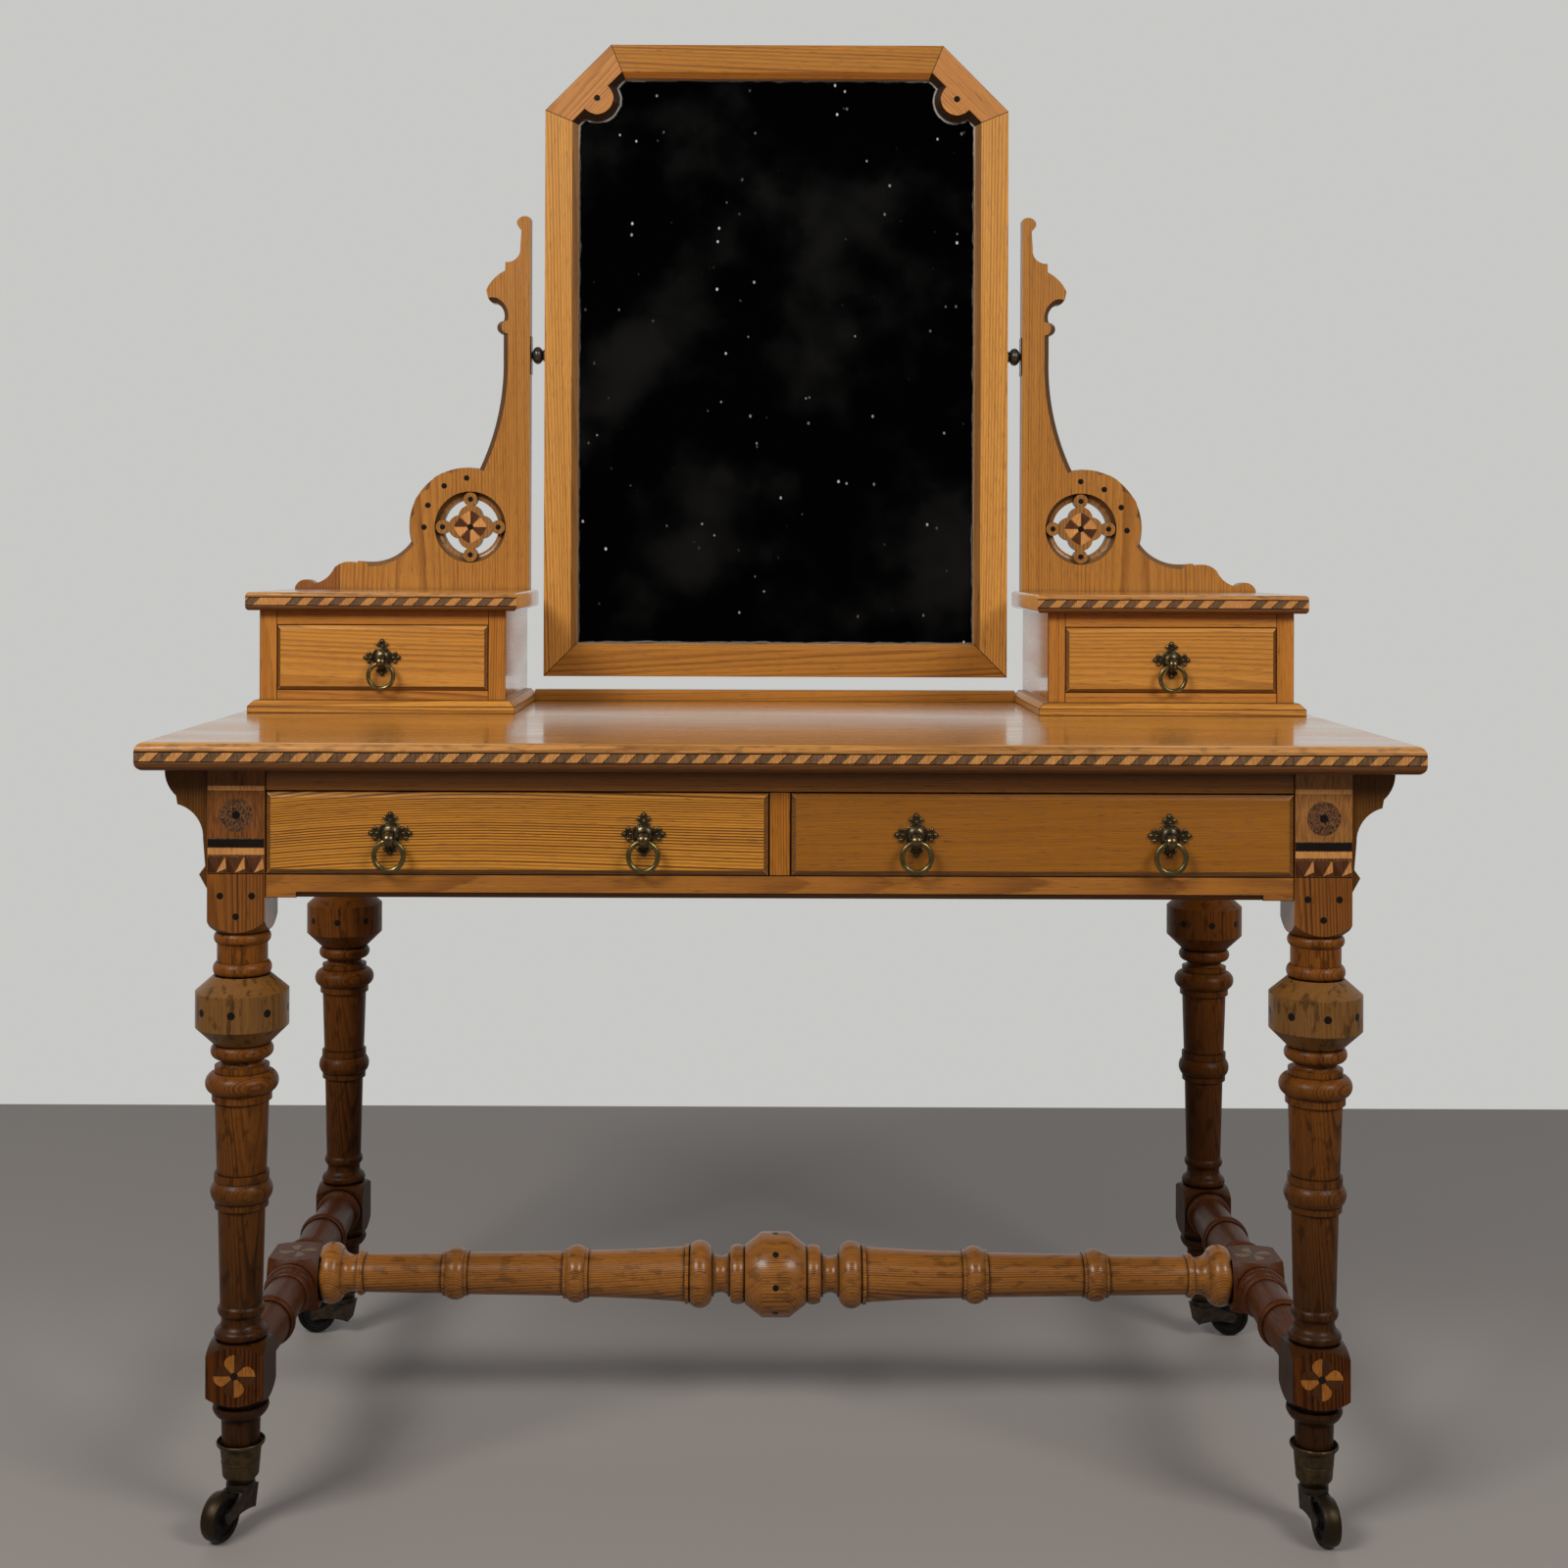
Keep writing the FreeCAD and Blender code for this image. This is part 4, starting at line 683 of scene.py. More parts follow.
parts = [
    as_mesh(lathe([(foot_low, 15.5 * mm), (foot_high, 17.9 * mm)], 48)),
    as_mesh(lathe(turning_line(foot_turning, foot_high, low_block_low - foot_high, leg_width), 72)),
    turned_block(leg_width, low_block_low, low_block_high, 11.5 * mm, True),
    as_mesh(lathe(turning_line(stem_turning, low_block_high, top_block_low - low_block_high, leg_width), 72)),
    turned_block(leg_width, top_block_low, top_block_high, 15 * mm, False),
]
bm = bmesh.new()
for mesh in parts:
    pour(bm, mesh)
leg_pattern = as_mesh(bm)
drum_slopes = (470 * mm, 534 * mm)
for number, (corner, (x, y)) in enumerate(leg_centres.items()):
    bm = bmesh.new()
    bm.from_mesh(leg_pattern)
    lay_grain(bm, along_z, towards_front, (42.0 * mm, 38.0 * mm), 41 + number)
    bm.transform(Matrix.Translation((x, y, 0)))
    refinish(bm, 1, lambda face: face.calc_center_median().z > top_block_low)
    refinish(bm, 2, lambda face: drum_slopes[0] < face.calc_center_median().z < drum_slopes[1])
    # Painted shade: the lower blocks' front faces take the darker finish.
    refinish(bm, 3, lambda face: face.normal.y < -0.6
             and low_block_low < face.calc_center_median().z < low_block_high)
    shades = [turned_pine, block_pine, drum_pine, shaded_low_block_pine] if "front" in corner else [
        rear_pine, block_pine, rear_pine, rear_pine]
    piece("turned_leg_" + corner, bm, shades, "table", ["leg_" + corner], "pine_turned")

# Stretchers: two side stretchers turned from squares whose middles are left square, and a long one turned
# between them round a wide drum. Feet have rubbed the side ones dark; the long one has kept its honey colour.
side_pine = varnished_pine("side_pine", (0.072, 0.0180, 0.0024), (0.028, 0.0066, 0.0009), gloss=0.42,
                           coat=0.0, dirt_and_shade=0.92, strength=0.8, shine=0.15, reach=5.0 * mm, mottle=0.3,
                           dirt_and_shade_range=(0.35, 0.92))
long_pine = varnished_pine("long_pine", (0.290, 0.110, 0.0190), (0.090, 0.028, 0.0040), ring=1.9 * mm,
                           gloss=0.30, dirt_and_shade=0.96, strength=1.0, shine=0.28, reach=5.0 * mm, mottle=0.35,
                           dirt_and_shade_range=(0.58, 0.98))


def quarter_turn(axis, degrees=90):
    return Matrix.Rotation(math.radians(degrees), 4, axis)


side_turning = (
    (0.050, 0.84, 0.94, 0.84), (0.040, 0.80, 0.72, 0.76), (0.340, 0.76, None, 0.84),
    (0.015, 0.90, None, 0.90), (0.060, 0.86, 0.97, 0.86), (0.015, 0.90, None, 0.90),
    (0.330, 0.84, None, 0.76), (0.050, 0.78, 0.90, 0.78), (0.070, 0.84, 0.98, 0.84),
    (0.030, 0.80, None, 0.80),
)
long_turning = (
    (0.030, 1.69, None, 1.69), (0.037, 1.69, None, 1.17), (0.032, 1.08, 1.19, 1.08),
    (0.006, 0.90, None, 0.90), (0.031, 0.82, 0.71, 0.82), (0.004, 0.90, None, 0.90),
    (0.051, 1.00, 1.34, 1.10), (0.008, 1.19, None, 1.19), (0.213, 1.10, 0.98, 0.92),
    (0.008, 0.99, None, 0.99), (0.039, 1.00, 1.15, 1.00), (0.008, 0.99, None, 0.99),
    (0.211, 0.88, None, 0.83), (0.008, 0.90, None, 0.90), (0.039, 0.92, 1.05, 0.92),
    (0.008, 0.90, None, 0.90), (0.173, 0.80, None, 0.76), (0.016, 0.80, 0.89, 0.80),
    (0.033, 0.76, 0.74, 0.94), (0.045, 1.00, 1.23, 1.08),
)
stretcher_width = 55 * mm
stretcher_level = 155 * mm
long_width = 52.5 * mm
long_level = 159 * mm
stretcher_middle = 3.5 * mm
side_length = 449.5 * mm
side_block_length = 64 * mm
end_length = (side_length - side_block_length) / 2
for number, (name, side) in enumerate((("left", -1), ("right", 1))):
    ends = as_mesh(lathe(turning_line(side_turning, -side_length / 2, end_length, stretcher_width), 64))
    flipped = ends.copy()
    flipped.transform(Matrix.Scale(-1, 4, (0, 0, 1)))
    flipped.flip_normals()
    bm = bmesh.new()
    pour(bm, ends)
    pour(bm, flipped)
    pour(bm, turned_block(stretcher_width, -side_block_length / 2, side_block_length / 2, 11 * mm, True))
    lay_grain(bm, along_z, towards_front, (38.0 * mm, 44.0 * mm), 51 + number)
    bm.transform(Matrix.Translation((side * leg_x, stretcher_middle, stretcher_level)) @ quarter_turn("X"))
    piece("turned_side_stretcher_" + name, bm, side_pine, "table", ["side_stretcher_" + name], "pine_turned")

half_line = turning_line(long_turning, 0.0, 492.5 * mm, long_width)
bm = lathe([(-z, r) for z, r in reversed(half_line[1:])] + half_line[1:], 72)
lay_grain(bm, along_z, towards_front, (46.0 * mm, 30.0 * mm), 54)
bm.transform(Matrix.Translation((0, stretcher_middle, long_level)) @ quarter_turn("Y"))
piece("turned_long_stretcher", bm, long_pine, "table", ["long_stretcher"], "pine_turned")

# Black dots: plugs of black wood about 7 mm across, let in round the drums, on the leg blocks and on the
# harps. They stand a hair proud, as old plugs do.
plug_rise = 0.10 * mm
plug_sink = 0.8 * mm


def disc_outline(x, z, radius, sides=48):
    angles = [2 * math.pi * i / sides for i in range(sides)]
    return [(x + radius * math.cos(a), z + radius * math.sin(a)) for a in angles]


def plug(bm, place, radius, out, wood=0, sides=20):
    """One plug with a slightly domed end, standing out along a direction."""
    turn = Matrix.Translation(place) @ out.to_track_quat("Z", "Y").to_matrix().to_4x4()
    made = [[bm.verts.new(turn @ Vector((x, y, depth))) for x, y in disc_outline(0, 0, radius * width, sides)]
            for depth, width in ((-plug_sink, 1.0), (0.4 * plug_rise, 1.0), (plug_rise, 0.86))]
    faces = [bm.faces.new(made[0][::-1]), bm.faces.new(made[-1])]
    for low, high in zip(made, made[1:]):
        faces += [bm.faces.new([low[i - 1], low[i], high[i], high[i - 1]]) for i in range(sides)]
    for face in faces:
        face.material_index = wood


def dots_round(radius, dot, place):
    """Eight dots round a drum."""
    bm = bmesh.new()
    plug(bm, (0, 0, 0), dot, along_x)
    mesh = repeated(bm, ring_repeat, Count=8, Radius=radius, Finish=black_inlay)
    mesh.transform(place)
    return mesh


drum_level = 503.2 * mm
dots = [dots_round(leg_width * 1.605 / 2, 3.8 * mm, Matrix.Translation((x, y, drum_level)))
        for x, y in leg_centres.values()]
dots.append(dots_round(long_width * 1.69 / 2, 3.4 * mm,
                       Matrix.Translation((0, stretcher_middle, long_level)) @ quarter_turn("Y")))
piece("drum_dots", *joined(dots), "table", (), "ebonised", weighted=False)

# Leg inlays: on the front of both front legs a pale line, a brown disc, black and pale bands, a row of
# pointed teeth and three dots, and a pinwheel of eight slips on each lower block and stretcher middle.
inlay_rise = 0.10 * mm
inlay_sink = 0.6 * mm
disc_wood = inlay_wood("disc_wood", (0.150, 0.068, 0.0300), (0.008, 0.0035, 0.0022), 0.9, 0.0, 0.15, 0.5)
dark_inlay = inlay_wood("dark_inlay", (0.085, 0.028, 0.009), (0.045, 0.014, 0.005), coat=0.05, shine=0.25)
# Dimmer slips for the low pinwheels: painted shade. The dark one is also a tooth slip and a stretcher petal.
shaded_pale_inlay = inlay_wood("shaded_pale_inlay", (0.290, 0.106, 0.0150), (0.170, 0.054, 0.0068), coat=0.0, shine=0.2)
dark_and_shaded_inlay = inlay_wood("dark_and_shaded_inlay", (0.055, 0.0175, 0.0040), (0.028, 0.0085, 0.0020), coat=0.0, shine=0.15)
worn_pale = inlay_wood("worn_pale", (0.150, 0.075, 0.0320), (0.085, 0.040, 0.0160), coat=0.0, shine=0.2)
field_woods = {
    -1: inlay_wood("field_wood_left", (0.178, 0.058, 0.0092), (0.080, 0.024, 0.0042), 0.8, 0.1, 0.3),
    1: inlay_wood("field_wood_right", (0.290, 0.115, 0.0210), (0.140, 0.052, 0.0100), 0.8),
}
leg_front = leg_front_y - leg_width / 2
inlay_woods = [pale_inlay, dark_inlay, black_inlay, disc_wood, shaded_pale_inlay, dark_and_shaded_inlay]
pale, dark, black, brown, shaded_pale, dark_and_shaded, field = range(7)


def slip(bm, outline, wood, front):
    """A slip of veneer on an upright face towards the front."""
    prism(bm, outline, front - inlay_rise, front + inlay_sink, wood)


petal_half = ((3.4, 0.0), (20.3, 0.0), (20.0, 10.0), (19.0, 20.0), (17.6, 30.0), (15.6, 38.0), (12.5, 43.0),
              (3.4, 44.0))


def pinwheel(bm, x, z, front, half_petal, woods):
    """Eight slips round a black dot, two woods by turns, meeting in pairs on the four axes."""
    for quarter in range(4):
        for way, wood in zip((1, -1), woods):
            outline = []
            for radius, angle in half_petal[::way]:
                a = math.radians(90 * quarter + way * angle)
                outline.append((x + radius * mm * math.cos(a), z + radius * mm * math.sin(a)))
            slip(bm, outline, wood, front)
    slip(bm, disc_outline(x, z, 3.8 * mm, 24), black, front - 0.03 * mm)


def block_inlays(x, half):
    """The inlays of one front leg, from the top of its upper block to its lower block."""
    bm = bmesh.new()
    low_x, high_x = x - half, x + half

    def band(low, high, wood, front=leg_front):
        slip(bm, [(low_x, low), (high_x, low), (high_x, high), (low_x, high)], wood, front)

    band(669.8 * mm, top_block_high - 0.6 * mm, field, leg_front + 0.04 * mm)
    for low, high, wood in ((715.6, 720.0, pale), (669.0, 669.8, brown), (661.2, 669.0, black),
                            (654.2, 660.4, pale), (635.6, 636.6, black), (651.6, 653.2, brown)):
        band(low * mm, high * mm, wood)
    disc_level = 692.0 * mm
    slip(bm, disc_outline(x, disc_level, 16.2 * mm), brown, leg_front)
    slip(bm, disc_outline(x, disc_level, 4.0 * mm, 24), black, leg_front - 0.05 * mm)
    tooth = (high_x - low_x) / 3
    point, base = 637.0 * mm, 651.6 * mm
    for i in range(3):
        left = low_x + i * tooth
        right = left + 0.98 * tooth
        tip, foot = (left + 0.46 * tooth, point), (right, point + 0.26 * (base - point))
        slip(bm, [(left, base), tip, (left, point)], dark_and_shaded, leg_front)
        slip(bm, [(left, base), tip, (left + 0.84 * tooth, base)], dark, leg_front)
        slip(bm, [tip, (right, point), foot], dark, leg_front)
        slip(bm, [tip, foot, (left + 0.93 * tooth, base)], pale, leg_front)
    for aside, level in ((-15.2, 614.6), (15.2, 614.6), (0.0, 594.8)):
        plug(bm, (x + aside * mm, leg_front, level * mm), 3.3 * mm, towards_front, black)
    pinwheel(bm, x, 155.3 * mm, leg_front, petal_half, (shaded_pale, dark_and_shaded))
    return bm


for side, name in ((-1, "left"), (1, "right")):
    piece("leg_inlays_" + name, block_inlays(side * leg_x, leg_width / 2 - 0.7 * mm),
          inlay_woods + [field_woods[side]], "table", (), "banding", weighted=False)
bm = bmesh.new()
for side in (-1, 1):
    wheel = bmesh.new()
    pinwheel(wheel, 0, 0, 0, petal_half, (field, dark_and_shaded))
    place = Vector((side * leg_x, stretcher_middle, stretcher_level + stretcher_width / 2))
    wheel.transform(Matrix.Translation(place) @ quarter_turn("X", -90))
    pour(bm, as_mesh(wheel))
piece("stretcher_inlays", bm, inlay_woods + [worn_pale], "table", (), "banding", weighted=False)

# Castors: a spun brass cup on each foot, a cast horn fork that swivels below it, and a cast wheel with a
# worn bright tread. The brass has gone dull brown, nearly black in the hollows.
def aged_brass(name, bright, dull, rough=0.34, wear=0.5, reach=4.0 * mm):
    """Old brass: rubbed bright where hands and floors touch it, brown and black in its hollows."""
    f = Finish(name)
    patches = f.noise(f.scaled(f.spot(), 160.0), 4.0)
    grit = f.noise(f.scaled(f.spot(), 1400.0), 2.0)
    open_air = f.ramp(f.crevices(reach), 0.35, 0.95)
    rubbed = f.ramp(open_air * 0.75 + patches * 0.5, 0.98 - 0.35 * wear, 1.12)
    colour = f.mix(solid(dull), solid(bright), rubbed)
    return f.surface(
        Base_Color=f.shade(colour, (0.78 + 0.44 * patches) * (0.35 + 0.65 * open_air)),
        Metallic=0.55 + 0.40 * rubbed,
        Roughness=rough + 0.30 * (1.0 - rubbed) * patches + 0.08 * (grit - 0.5),
        Normal=f.bump(patches * 0.6 + grit * 0.4, 0.05 * mm))


cup_brass = aged_brass("cup_brass", (0.095, 0.062, 0.025), (0.020, 0.013, 0.005), 0.42, 0.3)
fork_bronze = aged_brass("fork_bronze", (0.075, 0.050, 0.030), (0.013, 0.0095, 0.0070), 0.46, 0.2)
tread_brass = aged_brass("tread_brass", (0.044, 0.029, 0.014), (0.006, 0.0045, 0.0028), 0.42, 0.6)
cup_line = (
    (44.0, 0.0), (44.0, 11.2), (44.8, 12.0), (47.4, 14.4), (50.4, 16.9), (51.2, 17.35), (52.4, 17.5),
    (63.5, 18.4), (63.8, 18.65), (64.7, 18.65), (65.0, 18.5), (76.1, 19.5), (78.1, 20.6), (80.1, 22.2),
    (81.1, 23.0), (82.1, 23.35), (83.3, 23.3), (84.0, 22.8), (84.0, 22.2), (83.1, 21.7), (81.1, 21.5),
    (76.7, 18.2), (76.5, 18.02), (51.4, 15.72), (47.4, 10.6), (47.4, 0.0),
)
pin_line = ((38.7, 4.0), (44.2, 4.0))


def in_mm(line):
    return [(height * mm, radius * mm) for height, radius in line]


bm = bmesh.new()
for x, y in leg_centres.values():
    for shape in (spin(in_mm(cup_line)), lathe(in_mm(pin_line), 32)):
        shape.transform(Matrix.Translation((x, y, 0)))
        pour(bm, as_mesh(shape))
bmesh.ops.recalc_face_normals(bm, faces=bm.faces)
piece("brass_cups", bm, cup_brass, "table", ["castor_cups"], "brass_cup", smooth=30.0)

wheel_radius = 23.0 * mm
wheel_black = aged_brass("wheel_black", (0.014, 0.011, 0.008), (0.004, 0.0035, 0.003), 0.5, 0.2)
wheel_half = (
    (-8.0, 2.56), (-8.0, 6.4), (-7.6, 7.0), (-4.9, 7.3), (-4.5, 7.8), (-4.5, 15.6), (-4.9, 16.2),
    (-7.4, 16.5), (-8.0, 17.0), (-8.0, 20.6), (-7.7, 21.2), (-7.0, 21.7), (-4.8, 22.4), (-2.4, 22.86),
)
wheel_line = [*wheel_half, (0.0, 23.0), *((-out, radius) for out, radius in wheel_half[::-1]), wheel_half[0]]
castor_turn = {"front_left": -21.0, "front_right": 5.0, "rear_left": -97.0, "rear_right": 98.0}
trail = 33.0 * mm
tread_inner = 20.0 * mm


def closed(bm):
    """Welds the two ends of a spun outline and turns its faces outwards."""
    bmesh.ops.remove_doubles(bm, verts=bm.verts, dist=0.001 * mm)
    bmesh.ops.recalc_face_normals(bm, faces=bm.faces)
    return bm


for corner, (x, y) in leg_centres.items():
    fork, wheel = "castor_fork_" + corner, "castor_wheel_" + corner
    bm = taken(fork)
    ease(bm, 0.5 * mm, 40.0)
    piece("horn_fork_" + corner, bm, fork_bronze, fork, [fork], "bronze_fork", smooth=45.0)
    bm = closed(spin(in_mm(wheel_line), 64))
    refinish(bm, 1, lambda face: abs(face.normal.z) > 0.6
             or face.calc_center_median().xy.length < tread_inner)
    turn = math.radians(castor_turn[corner])
    place = Vector((x + trail * math.sin(turn), y - trail * math.cos(turn), wheel_radius))
    bm.transform(Matrix.Translation(place) @ Matrix.Rotation(turn, 4, "Z") @ quarter_turn("Y"))
    treads = [wheel_black if "rear" in corner else tread_brass, wheel_black]
    piece("cast_wheel_" + corner, bm, treads, wheel, [wheel], "castor_wheel", smooth=35.0)

# Long drawers: fronts with a bevel worked round the raised field, and boxes of thin pine with a grooved-in
# floor. The fronts are varnished; the boxes are bare inside.
def board_sizes(node):
    """Each board of a node as its low and high corner. Its triangles come board by board, twelve to each."""
    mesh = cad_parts[node].data
    faces = [[mesh.vertices[i].co for i in polygon.vertices] for polygon in mesh.polygons]
    found = []
    for start in range(0, len(faces), 12):
        points = [p for face in faces[start:start + 12] for p in face]
        found.append((Vector(min(p[k] for p in points) for k in range(3)),
                      Vector(max(p[k] for p in points) for k in range(3))))
    return found


def boards(node, finish, name, body, slot, seed, runs, seams=False):
    """Makes each board of a node afresh as an eased block, its grain along its longest side."""
    bm = bmesh.new()
    bm.verts.layers.float_vector.new("grain")
    for i, (low, high) in enumerate(board_sizes(node)):
        one = cuboid(low, high)
        ease(one, 0.4 * mm, finish=1 if seams else -1)
        order = sorted(range(3), key=lambda k: (high - low)[k])
        along, face = Vector((0, 0, 0)), Vector((0, 0, 0))
        along[order[2]] = 1.0
        face[order[0]] = 1.0
        lay_grain(one, along, face, runs[i % len(runs)], seed + i)
        pour(bm, as_mesh(one))
    piece(name, bm, [finish, seam_dirt_and_shade] if seams else finish, body, [node], slot)


face_pines = {
    "left": varnished_pine("left_face_pine", (0.505, 0.207, 0.0195), (0.115, 0.032, 0.0018), ring=1.8 * mm,
                           warp=3.0 * mm, strength=1.5),
    "right": varnished_pine("right_face_pine", (0.285, 0.101, 0.0055), (0.120, 0.034, 0.0014), ring=1.3 * mm,
                            warp=6.0 * mm, strength=0.6),
}
# Drawer-front bevels that face down or to the ends take this darker finish: painted shade.
shaded_bevel_pine = varnished_pine("shaded_bevel_pine", (0.165, 0.066, 0.0130), (0.070, 0.022, 0.0035), shine=0.25)


def sawn(bm, places):
    """Cuts a shape's faces across x, so that a finish or a sweep of grain can begin there."""
    for cut in places:
        bmesh.ops.bisect_plane(bm, geom=bm.verts[:] + bm.edges[:] + bm.faces[:], dist=0.001 * mm,
                               plane_co=(cut, 0, 0), plane_no=(1, 0, 0))


def raised_front(name, node, finish, body, heart, seed, sweep=None):
    """A drawer front: rubbed arrises round its bevel, dirt and painted shade on the outer ones along the
    gaps, painted shade on the bevels below and at its ends. A sweep bends the grain upwards between two
    places."""
    bm = taken(node)
    rim_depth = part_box(node)[0].y + 3.0 * mm
    # Dirt and painted shade: the outer arrises along the gaps take the nearly black finish.
    ease(bm, 0.5 * mm, keep=lambda edge: all(v.co.y > rim_depth for v in edge.verts), finish=1)
    ease(bm, 0.5 * mm, 20.0, keep=lambda edge: not any(f.material_index == 1 for f in edge.link_faces))
    # Painted shade on the bevels that face down or to the ends.
    refinish(bm, 2, lambda face: face.material_index == 0 and face.normal.y < -0.3 and (
        face.normal.z < -0.3 or abs(face.normal.x) > 0.5))
    if sweep:
        first, last, rise = sweep
        sawn(bm, [first + (last - first) * i / 6 for i in range(7)])
    lay_grain(bm, along_x, towards_front, heart, seed)
    if sweep:
        layer = bm.verts.layers.float_vector.get("grain")
        for v in bm.verts:
            share = min(max((last - v.co.x) / (last - first), 0.0), 1.0)
            v[layer] = v[layer] + Vector((0.0, rise * share * share, 0.0))
    piece(name, bm, [finish, seam_dirt_and_shade, shaded_bevel_pine], body, [node], "pine")


face_cuts = {
    "left": ((90.0 * mm, 90.0 * mm), 64, (-489.0 * mm, -240.0 * mm, 14.0 * mm)),
    "right": ((90.0 * mm, 60.0 * mm), 71),
}
for seed, side in ((62, "left"), (72, "right")):
    body = "drawer_" + side
    raised_front("long_drawer_face_" + side, "drawer_front_" + side, face_pines[side], body, *face_cuts[side])
    boards("drawer_box_" + side, plain_pine, "long_drawer_boards_" + side, body, "pine_lining", seed,
           (flat_sawn, rift_sawn))

# Trinket boxes: a chamfered plinth, a carcase of boards behind a face frame, a moulded top with a banded
# front edge, and one drawer each.
honey_pine = varnished_pine("honey_pine", (0.48, 0.205, 0.030), (0.220, 0.072, 0.007))
amber_pine = varnished_pine("amber_pine", (0.385, 0.150, 0.018), (0.165, 0.048, 0.004))
box_pine = varnished_pine("box_pine", (0.44, 0.170, 0.027), (0.180, 0.054, 0.006), gloss=0.28, coat=0.9)
planed("box_plinth_boards", "box_plinths", honey_pine, along_x, along_z, (20.0 * mm, 60.0 * mm), 81, 0.5 * mm,
       seams=True)
for seed, side in ((91, "left"), (101, "right")):
    body = "box_drawer_" + side
    boards("box_case_" + side, box_pine, "box_boards_" + side, "table", "pine", seed, (rift_sawn, flat_sawn),
           seams=True)
    edged_top("box_top_board_" + side, "box_top_" + side, 885.0 * mm, flat_sawn, seed + 20)
    raised_front("box_drawer_face_" + side, "box_drawer_front_" + side, honey_pine, body,
                 (25.0 * mm, 65.0 * mm), seed + 21)
    boards("box_drawer_box_" + side, plain_pine, "box_drawer_boards_" + side, body, "pine_lining", seed + 22,
           (flat_sawn, rift_sawn))
planed("gallery_strip", "gallery_rail", amber_pine, along_x, towards_front, rift_sawn, 131, 0.4 * mm)

# Ring pulls: a cast plate with a leaf of three lobes on each side, a spun boss with rings turned round it, a
# lobed knuckle and a round drop ring. There are six, their brass gone dark and rubbed bright on the edges.
pull_brass = aged_brass("pull_brass", (0.175, 0.122, 0.055), (0.011, 0.0075, 0.0042), 0.26, 0.40, 2.5 * mm)
ring_brass = aged_brass("ring_brass", (0.200, 0.158, 0.060), (0.028, 0.022, 0.0085), 0.26, 0.46, 2.5 * mm)
pull_places = {
    "drawer_pulls_left": ("drawer_left", ("drawer_ring_left_a", "drawer_ring_left_b")),
    "drawer_pulls_right": ("drawer_right", ("drawer_ring_right_a", "drawer_ring_right_b")),
    "box_pull_left": ("box_drawer_left", ("box_ring_left",)),
    "box_pull_right": ("box_drawer_right", ("box_ring_right",)),
}
ring_to_boss = Vector((0, 9.5, 20.4)) * mm

# In millimetres: each bud of a leaf as across, out and size; each bud of the knuckle as its place from the
# boss and its size; each bead round the boss as its radius, its wire and how far it stands forward.
leaf_buds = ((-5.0, 14.7, 2.1), (5.0, 14.7, 2.1), (0.0, 18.3, 2.0), (0.0, 12.6, 1.7))
knuckle_buds = (((0.0, -9.4, -3.2), 2.3), ((-4.5, -7.6, -4.2), 1.7), ((4.5, -7.6, -4.2), 1.7))
boss_beads = ((10.6, 0.7, 1.7), (8.9, 0.55, 2.0), (7.2, 0.55, 3.2), (5.2, 0.55, 4.3))


def turned_ring(radius, wire, place, sides, around):
    """A ring of round wire, upright and facing the front."""
    turns = [2 * math.pi * i / around for i in range(around + 1)]
    bm = closed(spin([(wire * math.sin(a), radius + wire * math.cos(a)) for a in turns], sides))
    bm.transform(Matrix.Translation(place) @ quarter_turn("X"))
    return bm


def bud(bm, centre, sizes):
    made = bmesh.ops.create_uvsphere(bm, u_segments=14, v_segments=8, radius=mm)["verts"]
    bmesh.ops.scale(bm, vec=sizes, verts=made)
    bmesh.ops.translate(bm, vec=centre, verts=made)


for node, (body, rings) in pull_places.items():
    bm = taken(node)
    ease(bm, 0.35 * mm, 50.0)
    for ring in rings:
        low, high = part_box(ring)
        middle = (low + high) / 2
        boss = middle + ring_to_boss
        for degrees in range(0, 360, 90):
            for across, out, size in leaf_buds:
                leaf = quarter_turn("Y", degrees) @ Vector((across, 0, out)) - Vector((0, 1.3, 0))
                bud(bm, boss + leaf * mm, (size, 1.5, size))
        for place, size in knuckle_buds:
            bud(bm, boss + Vector(place) * mm, (size, 2.0, size * 1.35))
        for radius, wire, forward in boss_beads:
            place = boss - Vector((0, forward * mm, 0))
            pour(bm, as_mesh(turned_ring(radius * mm, wire * mm, place, 48, 12)))
        piece("drop_" + ring, turned_ring(14.0 * mm, 2.45 * mm, middle, 72, 24), ring_brass, ring, [ring],
              "brass_pull", smooth=60.0)
    bmesh.ops.recalc_face_normals(bm, faces=bm.faces)
    piece("cast_" + node, bm, pull_brass, body, [node], "brass_pull", smooth=40.0)

# Harps: two boards fretted to a tall hollow shape with a pierced wheel low down, its front arris chamfered,
# the rim of the wheel carved in scallops. Each stands on a box and holds one end of the mirror.
harp_pine = varnished_pine("harp_pine", (0.39, 0.160, 0.0245), (0.19, 0.062, 0.0080), strength=0.75, dirt_and_shade=0.6)
# Chamfers and wheel walls get a darker copy, painted shade; upward chamfers a lighter one, painted light.
shaded_harp_edge = varnished_pine("shaded_harp_edge", (0.120, 0.058, 0.0220), (0.050, 0.022, 0.0085), coat=0.0, dirt_and_shade=0.7,
                           shine=0.2)
lit_harp_edge = varnished_pine("lit_harp_edge", (0.175, 0.085, 0.0310), (0.090, 0.038, 0.0110), dirt_and_shade=0.6,
                                 shine=0.3)
rosette_pine = varnished_pine("rosette_pine", (0.300, 0.128, 0.0260), (0.150, 0.052, 0.0090), dirt_and_shade=0.75)
foot_pine = varnished_pine("foot_pine", (0.270, 0.090, 0.0140), (0.120, 0.034, 0.0050), dirt_and_shade=0.6)
harp_woods = [harp_pine, shaded_harp_edge, lit_harp_edge, foot_pine, seam_dirt_and_shade, rosette_pine]
harp_front = 281.0 * mm
rosette_front = harp_front + 1.5 * mm
wheel_x, wheel_z, wheel_reach = 373.3 * mm, 975.5 * mm, 52.0 * mm
